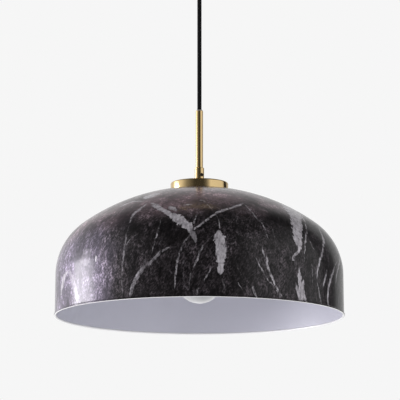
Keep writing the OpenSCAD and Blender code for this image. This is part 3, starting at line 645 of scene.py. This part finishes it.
def add_cores():
    """Round cores along the same routes as in the solids: live and neutral mirror each other."""
    sheath_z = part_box("cord_top")[1].z
    inner_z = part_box("cord_inner")[0].z
    lead_drop, core_tuck = 0.0023, 0.001
    lead_z = inner_z - lead_drop
    clamp_x = BLOCK_X - TOWER_X + core_tuck
    core = np.array([
        [0.0006, -0.0015, sheath_z], [0.0006, -0.0015, sheath_z + 0.001],
        [0.001, -0.0024, sheath_z + 0.003], [0.002, -0.005, -0.0104], [0.0036, -0.0078, -0.008],
        [0.006, -POLE_PITCH, POLE_Z], [clamp_x, -POLE_PITCH, POLE_Z]])
    earth = np.array([
        [clamp_x, 0, POLE_Z], [0.007, 0, POLE_Z], [0.003, 0, -0.007], [-0.002, 0, -0.0074],
        [-0.006, 0, -0.0064], [-0.0094, 0, -0.0036], [-0.0134, 0, -0.0036]])
    lead = np.array([
        [0, 0.0015, inner_z], [0, 0.0015, inner_z - 0.0005], [0, 0.0023, inner_z - 0.0017],
        [0, 0.0042, lead_z], [0, 0.007, lead_z], [0, 0.0115, lead_z]])
    mirrored = np.array([1, -1, 1])
    for node, route, radius, slot, body in (
            ("wire_live", core, WIRE_R, "brown_core", "ceiling"),
            ("wire_neutral", core * mirrored, WIRE_R, "blue_core", "ceiling"),
            ("wire_earth", earth, WIRE_R, "green_core", "ceiling"),
            ("lead_live", lead, LEAD_R, "brown_core", "lamp"),
            ("lead_neutral", lead * mirrored, LEAD_R, "blue_core", "lamp")):
        piece(node + "_round", node, body, slot, *skin(swept(smooth(route, 8), radius, around=20)),
              crease=60)


add_cords()
add_cores()


# Dome

# Points round the dome and along its arcs and its skirt, its bead, and its seat
AROUND = 420
OUTER_ROWS, INNER_ROWS, BEAD_ROWS, SEAT_ROWS = (66, 50, 22), (26, 20, 8), 20, 4


def dome_outline():
    """Outer and inner half sections of the dome as (r, z) points from the seat down: a crown arc, a
    shoulder arc and a skirt line, each tangent to the next, then the rolled bead round the rim. Also
    how many of the bead's points the print covers, down to print_end degrees below its middle."""
    print_end = 38
    crown = np.array([0, crown_z - CROWN_R])
    normal = np.array([math.cos(TAPER), math.sin(TAPER)])
    along = np.array([-math.sin(TAPER), math.cos(TAPER)])
    foot = np.array([SHADE_R - BEAD_OUT, rim_z])
    reach = (foot - crown) @ normal - SHOULDER_R
    rise = math.sqrt((CROWN_R - SHOULDER_R) ** 2 - reach**2)
    shoulder = crown + reach * normal + rise * along
    turn = bearing(crown, shoulder)
    bead = np.array([SHADE_R - BEAD_R, rim_z + BEAD_R])

    def side(inset, rows):
        """Half section at a distance inside the outer face, with the given points a stretch."""
        r = CROWN_R - inset
        start = math.degrees(math.acos(SEAT_R / r))
        skirt = shoulder + (SHOULDER_R - inset) * normal
        across = foot[0] - inset - bead[0]
        end = bead + (across, math.sqrt(BEAD_R**2 - across**2))
        return np.vstack([
            arc(crown, r, start, turn, rows[0]),
            arc(shoulder, SHOULDER_R - inset, turn, math.degrees(TAPER), rows[1])[1:],
            np.linspace(skirt, end, rows[2])[1:],
        ])

    outer, inner = side(0, OUTER_ROWS), side(WALL, INNER_ROWS)
    start, end = bearing(bead, outer[-1]), bearing(bead, inner[-1]) - 360
    printed = int((np.linspace(start, end, BEAD_ROWS)[1:-1] > -print_end).sum())
    return outer, inner, arc(bead, BEAD_R, start, end, BEAD_ROWS)[1:-1], printed


def dome_loop(outer, inner, bead, printed):
    """Closed section, and for each of its points the finish of the faces after it: 0 the print outside, 1
    the enamel inside, 2 the bead, whose lighter enamel is painted light."""
    flat_z = crown_z - CROWN_R + math.sqrt(CROWN_R**2 - SEAT_R**2)
    seat = np.linspace((BORE_R, flat_z), (SEAT_R, flat_z), SEAT_ROWS)[:-1]
    under = np.linspace((SEAT_R, flat_z - WALL), (BORE_R, flat_z - WALL), SEAT_ROWS)[1:]
    first_bead = len(seat) + len(outer)
    row = np.arange(first_bead + len(bead) + len(inner) + len(under))
    finish_of = np.where(row < first_bead + printed, 0, np.where(row < first_bead + len(bead), 2, 1))
    return np.vstack([seat, outer, bead, inner[::-1], under]), finish_of


outline = dome_outline()
outer = outline[0]

# Marble veins of the photographed side, each with its half widths in picture points at the start,
# middle and end, its strength, and the picture points that it runs through
FRONT_VEINS = [
    # Broad band from the left of the crown to the front, and the speckles above it
    (0.8, 2.1, 2.5, 0.9, [(152, 204.6), (156, 206.4), (163, 210), (171, 214.4), (179, 219)]),
    (1.6, 4.6, 2.8, 1.0, [(168, 213.4), (175.5, 216.8), (182, 221), (188, 226), (192, 231)]),
    (2.6, 2.4, 0.4, 0.42, [(189.5, 229), (192.4, 233), (194.4, 238), (195.8, 243.5)]),
    (0.3, 1.7, 0.3, 0.8, [(168, 206.2), (171, 207.5), (174, 208.8), (177.5, 212)]),
    (0.3, 1.0, 0.3, 0.7, [(149.5, 202.8), (155, 204), (162, 207.2)]),
    (1.2, 3.3, 1.4, 1.0, [(142.5, 199), (148, 197), (153, 195), (160, 193)]),
    # Left of the band
    (0.5, 0.9, 0.4, 0.8, [(147.5, 203), (139.4, 209.6), (132.3, 215.5), (129.6, 223.7)]),
    (0.3, 0.6, 0.4, 0.55, [(129.6, 223.7), (126.4, 233.2), (125.2, 242.6), (123.5, 252), (122.3, 266.2),
                           (121.7, 278), (122.3, 297.5)]),
    (0.2, 0.8, 0.2, 0.9, [(118, 207.5), (121.7, 206), (128, 203.2), (134.7, 201.3), (146, 201.3)]),
    (0.15, 0.45, 0.2, 0.6, [(139, 233), (131, 238.5), (125.5, 247), (124, 258)]),
    (0.15, 1.4, 1.3, 0.42, [(178, 246.7), (167.7, 247.9), (158.3, 254.4), (151.2, 261.5), (142.9, 268.6),
                            (135.9, 279.2), (132.3, 288.6), (130, 298.5)]),
    (0.2, 0.8, 0.9, 0.85, [(174, 246.5), (164.7, 248.4), (156.9, 254.2), (150, 261.2), (141.6, 268.2),
                           (134.6, 278.8), (131.2, 288.4), (129.2, 298)]),
    (0.15, 0.45, 0.4, 0.5, [(158.6, 256), (152.6, 262.3), (144.3, 269.4), (137.2, 279.8), (133.4, 289)]),
    (0.2, 0.6, 0.2, 0.9, [(161.2, 216.5), (159.8, 224), (157.1, 233.2), (154.1, 244), (150.5, 256)]),
    # From the foot of the band down to the rim
    (0.5, 0.85, 0.45, 0.95, [(190.2, 234.5), (186, 239.6), (182.5, 245), (178.3, 256.8), (176, 269.7),
                             (174.8, 281), (174.6, 290)]),
    (0.2, 0.4, 0.3, 0.42, [(215, 234), (209, 238.8), (204, 244)]),
    (0.5, 1.1, 0.35, 0.8, [(204, 243.4), (200.6, 250), (198.2, 257), (195, 264.4), (191.6, 271.4)]),
    (0.25, 0.5, 0.25, 0.6, [(191.4, 270.8), (189.8, 279.2), (188.8, 289)]),
    (0.2, 0.7, 0.5, 0.75, [(197.2, 213.5), (195.4, 219), (193, 224.5)]),
    (0.2, 0.8, 0.35, 0.75, [(213, 263), (208, 273.3), (202.8, 282.5)]),
    (0.2, 0.9, 0.3, 0.5, [(199, 286), (197.5, 291), (196.8, 296)]),
    # Bright chevron at the far left
    (0.8, 1.6, 0.9, 0.75, [(68.6, 270), (65, 275.5), (63.2, 281), (61.5, 290), (60.8, 297)]),
    (1.0, 2.1, 1.7, 0.36, [(68.4, 269.4), (72.2, 279), (75.5, 291), (78.4, 304)]),
    # Soft pale patch where the left highlight fades in at its top: a painted highlight glow laid as a faint
    # broad vein
    (2.2, 4.6, 3.6, 0.2, [(88.6, 247.5), (87, 253), (84.8, 259), (83, 266)]),
    (0.2, 0.7, 0.2, 0.9, [(95.6, 254.5), (96, 259), (95.2, 264)]),
    # The long vein over the front of the crown, and its thin branches
    (1.0, 0.95, 1.1, 0.9, [(244.4, 202.2), (238.7, 205.4), (229.2, 208.4), (218.6, 211.9),
                           (210.3, 217.2), (202.1, 223.7), (195.5, 228.2), (190.5, 232.5)]),
    (0.4, 0.6, 0.3, 1.0, [(244, 203.5), (251.6, 211.9), (257.5, 219), (262.8, 224.3), (265.8, 232),
                          (268.6, 240)]),
    (0.15, 0.35, 0.35, 0.6, [(200, 198.5), (206.5, 203.5), (213.5, 210.5)]),
    (0.2, 0.5, 0.6, 0.8, [(215.5, 213.5), (217.6, 218), (219.2, 223.5), (219.6, 230)]),
    # Blot at the front, a little right of the middle
    (1.1, 4.9, 4.0, 1.0, [(218.2, 229.5), (219.2, 235.5), (220.6, 243), (221, 254), (221.3, 265)]),
    (3.9, 3.4, 0.6, 1.0, [(221.3, 262), (221, 266), (220.6, 270), (220, 275.5)]),
    (0.15, 0.5, 0.15, 0.4, [(222, 275), (223.5, 284), (226, 292)]),
    # Right of the blot
    (0.3, 1.05, 0.6, 1.0, [(266.2, 252.5), (266.7, 259), (267.4, 265.5), (271.4, 276), (277.2, 288.6),
                           (284, 299.5)]),
    (0.3, 0.8, 0.3, 1.0, [(262.2, 246.2), (263.3, 252), (264.8, 258.8)]),
    (0.2, 0.6, 0.4, 1.0, [(255.2, 256.5), (259, 264.4), (262.9, 271.4), (267.2, 278.8), (271, 284)]),
    (0.2, 0.5, 0.35, 0.8, [(270, 281.5), (274, 287), (278, 292.4), (282, 298.6)]),
    (0.15, 1.2, 0.4, 0.9, [(251.8, 284), (254.2, 291), (257, 299.4)]),
    (0.15, 0.4, 0.15, 0.7, [(237.6, 281.5), (240.5, 287), (243.4, 292)]),
    # Big band on the right, from the horizon down, with the hook at its foot
    (2.8, 5.2, 3.0, 1.0, [(282.5, 200.5), (288.5, 206), (293.6, 213), (296.6, 222), (297.2, 231),
                          (298.2, 240), (299.4, 247.5)]),
    (2.0, 1.4, 1.2, 1.0, [(300, 244.5), (299, 251), (295.6, 254.6), (293.2, 257.4), (293.2, 262)]),
    (0.25, 0.7, 0.25, 0.95, [(300, 214.5), (304.7, 221.4), (306.5, 230.8), (305.3, 240.2), (304.7, 252),
                             (304.1, 263.5)]),
    (0.15, 0.5, 0.15, 0.7, [(297, 207), (302, 214.5), (305.5, 222)]),
    (0.2, 1.7, 1.3, 1.0, [(298.6, 264.5), (299.4, 274.5), (299.8, 283), (301, 292.2), (303, 303)]),
    (0.2, 1.2, 0.9, 0.9, [(295.4, 281), (297, 288), (298.8, 295), (301, 303.4)]),
    (0.2, 1.3, 0.9, 0.95, [(303.4, 278), (303, 289.8), (306.2, 304.6)]),
    # Thin veins towards the right edge
    (0.35, 0.95, 0.4, 1.0, [(317.8, 226), (323, 237.9), (323.4, 246), (319.8, 261), (317.5, 271),
                            (317, 281)]),
    (0.2, 0.5, 0.4, 0.85, [(317, 281), (319.5, 294.5), (321.6, 307.6)]),
    (0.2, 0.75, 0.3, 0.95, [(327.4, 268.5), (324.8, 279.2), (322.6, 289)]),
    (0.2, 0.8, 0.6, 1.0, [(338, 258.5), (334.2, 268.6), (330.7, 279.2), (328.3, 289.8), (327.7, 299.2),
                          (328.9, 309)]),
    (0.15, 0.35, 0.15, 0.7, [(308, 238), (311.4, 244.3), (315, 251.5)]),
    # Faint streaks between them, and light flecks on the crown
    (0.2, 0.5, 0.2, 0.85, [(340.2, 250), (339.6, 262), (336.6, 275), (335.4, 290)]),
    (0.15, 0.3, 0.15, 0.5, [(311.5, 262), (312.6, 275), (312.2, 288)]),
    (0.15, 0.3, 0.15, 0.5, [(286, 240), (289.4, 251), (290.4, 262)]),
    (0.15, 0.3, 0.15, 0.5, [(272, 226), (274.6, 238), (279, 250), (281.5, 262)]),
    (0.15, 0.3, 0.15, 0.45, [(235, 255), (238, 268), (244, 280)]),
    (0.15, 0.3, 0.15, 0.5, [(143, 262), (139.5, 270), (137.6, 280)]),
    (0.3, 0.8, 0.3, 0.6, [(183, 205.6), (188, 204.6), (193.5, 204.8)]),
    (0.3, 0.5, 0.3, 0.6, [(198, 200.6), (202.5, 200.2), (206, 201.4)]),
]


def on_dome(u, v):
    """Where the line of sight through a picture point first meets the dome's outer face, or else
    comes closest to it."""
    nearest, farthest, steps = 3.6, 4.25, 1400
    points = EYE + sight(u, v) * np.linspace(nearest, farthest, steps)[:, None]
    face = np.interp(points[:, 2], outer[::-1, 1], outer[::-1, 0], right=-1)
    gap = np.hypot(points[:, 0], points[:, 1]) - face
    gap[points[:, 2] < rim_z] = 1
    hit = np.flatnonzero((gap[1:] < 0) & (gap[:-1] >= 0))
    if len(hit) == 0:
        return points[np.argmin(np.abs(gap))]
    k = hit[0]
    share = gap[k] / (gap[k] - gap[k + 1])
    return points[k] * (1 - share) + points[k + 1] * share


def widths(start, middle, end, count):
    """Half widths along a vein: the middle value holds over the middle third, and a short tip at
    each end is rounded off."""
    hold_from, hold_to, tip, bluntness = 0.3, 0.65, 0.06, 0.04
    share = np.linspace(0, 1, count)
    round_off = np.sqrt(np.clip(np.minimum(share, 1 - share) / tip, bluntness, 1))
    return np.interp(share, (0, hold_from, hold_to, 1), (start, middle, middle, end)) * round_off


def front_vein(start, middle, end, strength, marks):
    """A vein's points on the dome, its half widths there and its strength. A picture point covers
    1.375 mm across the line of sight. Where the face leans away it covers more of the face, and
    that widens the vein up to a limit."""
    least_cover, most_cover = 0.0011, 0.003
    marks = smooth(marks, 5)
    side = np.gradient(marks, axis=0)[:, ::-1] * (1, -1)
    side /= np.linalg.norm(side, axis=1)[:, None]
    places = np.array([on_dome(*m) for m in marks])
    along = np.gradient(places, axis=0)
    along /= np.linalg.norm(along, axis=1)[:, None]
    step = np.array([on_dome(*b) - on_dome(*a) for a, b in zip(marks - side / 2, marks + side / 2)])
    step -= along * (step * along).sum(1)[:, None]
    cover = np.clip(np.linalg.norm(step, axis=1), least_cover, most_cover)
    return places, widths(start, middle, end, len(marks)) * cover, strength


outer_run = np.concatenate([[0], np.cumsum(np.hypot(*np.diff(outer, axis=0).T))]) + SEAT_R


def at_run(run, azimuth):
    """Point of the outer face at a distance along the profile and an angle from the front."""
    r = np.interp(run, outer_run, outer[:, 0])
    z = np.interp(run, outer_run, outer[:, 1])
    return about_axis(r, azimuth, z)


def wild_veins(seed, count):
    """Veins for the sides that the photograph doesn't show: seeded walks down the dome, whose
    heading drifts at random. One in five is a broad band."""
    draw = np.random.default_rng(seed)
    stride, least_r, band_every, spread, lean_spread, drift = 0.0135, 0.03, 5, 1.75, 0.5, 0.28
    start_run, strengths = (0.045, 0.23), (0.65, 1)
    band_width, thread_width = (0.003, 0.006), (0.0005, 0.0012)
    veins = []
    for k in range(count):
        azimuth = math.pi + draw.uniform(-spread, spread)
        run = draw.uniform(*start_run)
        lean, steps = draw.normal(0, lean_spread), int(draw.integers(6, 13))
        marks = []
        for _ in range(steps):
            marks.append((run, azimuth))
            lean += draw.normal(0, drift)
            run += stride * math.cos(lean)
            r = np.interp(run, outer_run, outer[:, 0])
            azimuth += stride * math.sin(lean) / max(r, least_r)
        marks = smooth(marks, 4)
        marks = marks[marks[:, 0] < outer_run[-1]]
        wide = draw.uniform(*(thread_width if k % band_every else band_width))
        half = widths(wide * 0.15, wide, wide * 0.2, len(marks))
        veins.append((at_run(marks[:, 0], marks[:, 1]), half, draw.uniform(*strengths)))
    return veins


# Beyond its half width a vein's field is whole for the first distance and gone at the second. Along
# the vein it fades over a share of the length at each end
FIELD_WHOLE, FIELD_END, END_FADE = 0.004, 0.0075, 0.07


def vein_field(points, places, half, strength):
    """The points near a vein, and their signed distance from its line, its half width there, and
    its strength, which fades at its ends and away from it. The sign is the side of the line on
    which the point lies, so the value passes through nought between points."""
    spread = half.max() + FIELD_END
    inside = (points > places.min(0) - spread) & (points < places.max(0) + spread)
    close = np.flatnonzero(np.all(inside, 1))
    p, a = points[close], places[:-1]
    run = places[1:] - a
    t = np.clip(((p[:, None] - a) * run).sum(2) / np.maximum((run**2).sum(1), 1e-12), 0, 1)
    foot = a + t[..., None] * run
    away = np.linalg.norm(p[:, None] - foot, axis=2)
    best = away.argmin(1)
    nearest = np.arange(len(p)), best
    outwards = p - np.array([0, 0, rim_z])
    sign = np.sign((np.cross(run[best], outwards) * (p - foot[nearest])).sum(1))
    along = (best + t[nearest]) / len(a)
    width = np.interp(along, np.linspace(0, 1, len(half)), half)
    ends = np.clip(np.minimum(along, 1 - along) / END_FADE, 0, 1)
    fade = np.clip((width + FIELD_END - away[nearest]) / (FIELD_END - FIELD_WHOLE), 0, 1)
    return close, np.stack([sign * away[nearest], width, strength * ends * fade], -1)


def vein_sets(points, veins):
    """For each set, every point's distance, half width and strength of the strongest vein there.
    Veins of one set keep clear of each other as far as the number of sets allows."""
    fields = np.zeros((VEIN_SETS, len(points), 3))
    fields[:, :, 0] = 1
    members = [[] for _ in range(VEIN_SETS)]
    for places, half, strength in veins:
        free = [k for k in range(VEIN_SETS) if all(
            np.linalg.norm(places[:, None] - other[None], axis=2).min() > 2 * FIELD_END + half.max() + wide
            for other, wide in members[k])]
        k = free[0] if free else min(range(VEIN_SETS), key=lambda n: len(members[n]))
        members[k].append((places, half.max()))
        close, field = vein_field(points, places, half, strength)
        take = field[:, 2] > fields[k, close, 2]
        fields[k, close[take]] = field[take]
    return fields


def add_dome():
    """The dome: printed outside, enamelled inside, and enamelled lighter on its bead as painted light. Its
    points carry the veins.
    """
    loop, finish_of = dome_loop(*outline)
    points, faces = skin(turned(loop, AROUND), ring=True)
    finishes = [marble(), enamel("enamel", *LILAC_TONES), enamel("bead_enamel_painted_light", *BEAD_PAINTED_LIGHT_TONES)]
    dome = piece("shade_shell", "shade", "lamp", "marbled_metal", points, faces, finishes,
                 np.repeat(finish_of, AROUND), crease=50)
    veins = [front_vein(*vein) for vein in FRONT_VEINS] + wild_veins(seed=11, count=34)
    for k, field in enumerate(vein_sets(points, veins)):
        carry(dome, "vein_%d" % k, field)


add_dome()


# Bulb

def bulb_side(inset, rows):
    """Half section of the glass: the neck, its flaring arc and the ball, each tangent to the next."""
    ball_r, neck_r, neck_z, neck_tuck = 0.033, 0.0124, -0.39175, 0.008
    centre = np.array([0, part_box("bulb_glass")[0].z + ball_r])
    neck_arc = ((neck_z - centre[1]) ** 2 / (ball_r - neck_r) - ball_r - neck_r) / 2
    far = np.array([neck_r + neck_arc, neck_z])
    way = bearing(centre, far)
    neck = np.linspace((neck_r - inset, neck_z + neck_tuck), (neck_r - inset, neck_z), rows[0])
    return np.vstack([
        neck[:-1],
        arc(far, neck_arc + inset, 180, 180 + way, rows[1])[:-1],
        arc(centre, ball_r - inset, way, -90, rows[2]),
    ])


def envelope():
    """Closed glass: outer half section to the axis at the foot, then the inner one back up."""
    wall, on_axis = 0.001, 1e-5
    outside, inside = bulb_side(0, (5, 22, 60)), bulb_side(wall, (5, 18, 40))
    profile = np.vstack([outside[:-1], (on_axis, outside[-1, 1]), (on_axis, inside[-1, 1]),
                         inside[:-1][::-1]])
    return skin(turned(profile, around=128), ring=True)


piece("bulb_envelope", "bulb_glass", "bulb", "opal_glass", *envelope(), crease=60)


# Lamp threads

def round_thread(r, wall, top_z, low_z, deep, flare):
    """Outer and inner grids of a rolled lamp thread, whose dips fade out at both ends and whose
    foot is flared: r(a, z) = r - deep (1 - cos 2 pi (z / pitch - a / 2 pi)) / 2 + flare. The inner
    face follows the outer one, one wall inside."""
    pitch, foot_h, fade_in, foot_edge, top_h, fade_out = 0.00363, 0.0018, 0.0012, 0.0006, 0.001, 0.0015
    rows, around = 100, 72
    z = np.linspace(low_z, top_z, rows)[:, None]
    angle = full_turn(around)
    ends = np.clip((z - low_z - foot_h) / fade_in, 0, 1) * np.clip((top_z - top_h - z) / fade_out, 0, 1)
    dip = deep * ends * (1 - np.cos(TAU * (z / pitch - angle / TAU))) / 2
    out_r = r - dip + flare * np.clip((low_z + foot_h - z) / foot_edge, 0, 1)
    return about_axis(out_r, angle, z), about_axis(out_r - wall, angle, z)


def bulb_cap():
    """Aluminium screw cap: flared foot, thread, and a rounded shoulder over to its insulator."""
    low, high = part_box("bulb_cap")
    cap_r, wall, fillet, hole_r = 0.013, 0.0003, 0.0005, 0.011
    shoulder_z = high.z - 2 * wall
    shoulder_r = cap_r - 0.00001
    out, inside = round_thread(cap_r, wall, shoulder_z, low.z, deep=0.0007, flare=0.0005)
    shoulder = rounded([(shoulder_r, shoulder_z, 0), (shoulder_r, high.z, fillet), (hole_r, high.z, 0),
                        (hole_r, high.z - wall, 0), (cap_r - wall, high.z - wall, 0)], count=5)
    return skin(np.concatenate([out, turned(shoulder, out.shape[1])[1:], inside[::-1]]), ring=True)


def holder_shell():
    """Brass screw shell of the holder, rolled with the same thread."""
    low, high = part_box("holder_shell")
    shell_r, wall = 0.0141, 0.0004
    out, inside = round_thread(shell_r, wall, high.z, low.z, deep=0.0006, flare=-0.0003)
    return skin(np.concatenate([out, inside[::-1]]), ring=True)


piece("bulb_cap_threaded", "bulb_cap", "bulb", "aluminium", *bulb_cap())
piece("holder_shell_threaded", "holder_shell", "lamp", "raw_brass", *holder_shell())


# Brass cup

def cap_cup():
    """Spun brass cup on the crown: a side, a small round edge, a top with a hole for the tube."""
    low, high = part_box("top_cap")
    wall, edge, r, rim, burr = 0.0012, 0.0024, 0.04, 0.0003, 0.0002
    profile = rounded([
        (r, low.z, rim), (r, high.z, edge), (BORE_R, high.z, burr), (BORE_R, high.z - wall, burr),
        (r - wall, high.z - wall, edge - wall), (r - wall, low.z, rim)], count=9)
    return skin(turned(profile, around=240), ring=True)


piece("cap_cup", "top_cap", "lamp", "brass", *cap_cup())


# Solids that stay

def dress_solids():
    """Gives the solids that stay the finish of their slot in the record."""
    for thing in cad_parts.values():
        if thing.hide_render:
            continue
        for place in thing.material_slots:
            place.material = FINISHES[place.material.name.split(".")[0]]


dress_solids()


# Studio

FLOOR_Z, FLOOR_R, FLOOR_FADE_R, FLOOR_TONE = -2.6, 16.0, 9.0, (0.92, 0.92, 0.92, 1)
FLAGS_R, FLAGS_LOW, FLAGS_HIGH, LAMP_Z = 11.0, -20, 89, -0.42
SOFT_TONE, WHITE_TONE = (0.85, 0.85, 0.86, 1), (0.922, 0.922, 0.922, 1)

# Darkness of the black flags by the angle from the camera's side, positive to the right, and by
# height, both in degrees
FLAGS_ROUND = (
    (-180, 0.16), (-158, 0.2), (-130, 0.25), (-126, 0), (-92, 0), (-88, 0.12), (-75, 0.2), (-65, 0.45),
    (-52, 0.72), (-35, 0.86), (-19, 0.95), (17, 0.95), (29, 0.82), (37, 0.56), (45, 0.12), (100, 0.2),
    (112, 0.35), (114, 0.98), (134, 0.98), (138, 0.55), (155, 0.42), (180, 0.16))
FLAGS_ABOVE = ((30, 0), (52, 0.85), (90, 0.9))


def stage(name, points, faces, material):
    """One mesh of the studio, which isn't a piece of the object."""
    mesh = bpy.data.meshes.new(name)
    mesh.from_pydata(points.tolist(), [], faces.tolist())
    mesh.materials.append(material)
    thing = put_in_scene(name, mesh)
    return thing


def see_through(g, own, share):
    """Makes a mix of the material's own shader and a clear one its surface, by the clear share."""
    clear = g.add("ShaderNodeBsdfTransparent").outputs[0]
    g.put(g.tree.nodes["Material Output"].inputs[0], g.fed("ShaderNodeMixShader", share, own, clear))
    return g.material


def floor_finish():
    """Pale and matt, and clear from below and towards its far edge."""
    g = Finish("floor")
    g.set(Base_Color=FLOOR_TONE, Roughness=0.9)
    x, y, _ = g.split(g.place)
    far = g.math("SQRT", g.total(g.product(x, x), g.product(y, y)))
    back = g.add("ShaderNodeNewGeometry").outputs["Backfacing"]
    return see_through(g, g.shader.outputs[0], g.largest(back, g.span(far, FLOOR_FADE_R, FLOOR_R)))


def floor():
    """Round floor far below the lamp."""
    sides = 64
    points = about_axis(FLOOR_R, full_turn(sides)[0], FLOOR_Z)
    stage("floor", points, np.arange(sides)[None], floor_finish())


def flag_finish():
    """Black that gives off no light, as dense as the number that its points carry."""
    g = Finish("flags")
    black = g.add("ShaderNodeEmission")
    black.inputs["Color"].default_value = (0, 0, 0, 1)
    return see_through(g, black.outputs[0], g.math("SUBTRACT", 1.0, g.attribute("dark")[0]))


def flags():
    """Part of a ball round the lamp, R (cos h sin a, -cos h cos a, sin h), that takes away part of
    the white surround. Reflections alone see it."""
    azimuth = np.linspace(-180, 180, 361)[:-1]
    height = np.linspace(FLAGS_LOW, FLAGS_HIGH, 55)[:, None]
    across = np.interp(azimuth, *np.transpose(FLAGS_ROUND))
    above = np.interp(height, *np.transpose(FLAGS_ABOVE))
    dark = (1 - (1 - across) * (1 - above)).ravel()
    h = np.radians(height)
    grid = about_axis(FLAGS_R * np.cos(h), np.radians(azimuth), FLAGS_R * np.sin(h) + LAMP_Z)
    at = numbered(grid)
    thing = stage("flags", grid.reshape(-1, 3), quads(at[:-1], at[1:]), flag_finish())
    carry(thing, "dark", np.stack([dark] * 3, -1))
    for rays in ("camera", "diffuse", "transmission", "shadow", "volume_scatter"):
        setattr(thing, "visible_" + rays, False)


def softbox(name, azimuth, low, high, width, radiance):
    """Upright area light at an angle from the camera's side, between two heights, that faces the
    lamp's axis. A lamp of area A that gives off P watts has the radiance P / (pi A)."""
    distance, tone = 3.2, (1.0, 0.975, 1.04)
    light = bpy.data.lights.new(name, "AREA")
    light.shape = "RECTANGLE"
    light.size, light.size_y = width, high - low
    light.energy = radiance * math.pi * width * (high - low)
    light.color = tone
    thing = put_in_scene(name, light)
    a = math.radians(azimuth)
    thing.location = (distance * math.sin(a), -distance * math.cos(a), (low + high) / 2)
    thing.rotation_euler = (math.pi / 2, 0, a)
    thing.visible_camera = False


def surround():
    """White where the camera, a reflection or a ray through glass sees it, else a soft light."""
    world = bpy.data.worlds.new("studio")
    bpy.context.scene.world = world
    world.use_nodes = True
    world.node_tree.nodes.clear()
    g = Graph(world.node_tree)
    rays = g.add("ShaderNodeLightPath").outputs
    seen = g.largest(rays["Is Camera Ray"], rays["Is Glossy Ray"], rays["Is Transmission Ray"])
    both = g.fed("ShaderNodeMixShader", seen, g.fed("ShaderNodeBackground", SOFT_TONE),
                 g.fed("ShaderNodeBackground", WHITE_TONE))
    g.put(g.add("ShaderNodeOutputWorld").inputs[0], both)


floor()
flags()
surround()

# One softbox at the left: a bright face that fades at its near side and its top, and a dim upper
# edge that the brass reflects. Each row has its name, angle, low and high ends, width and radiance
for row in (("left_softbox", -103, -1.42, 0.02, 1.28, 15.3),
            ("left_softbox_side", -89.5, -1.42, 0.02, 0.22, 7.0),
            ("left_softbox_top", -102.5, 0.02, 0.12, 1.36, 11.0),
            ("left_softbox_fade", -102.5, 0.12, 0.24, 1.36, 6.0),
            ("left_softbox_edge", -107.5, 0.11, 0.8, 1.24, 1.3)):
    softbox(*row)
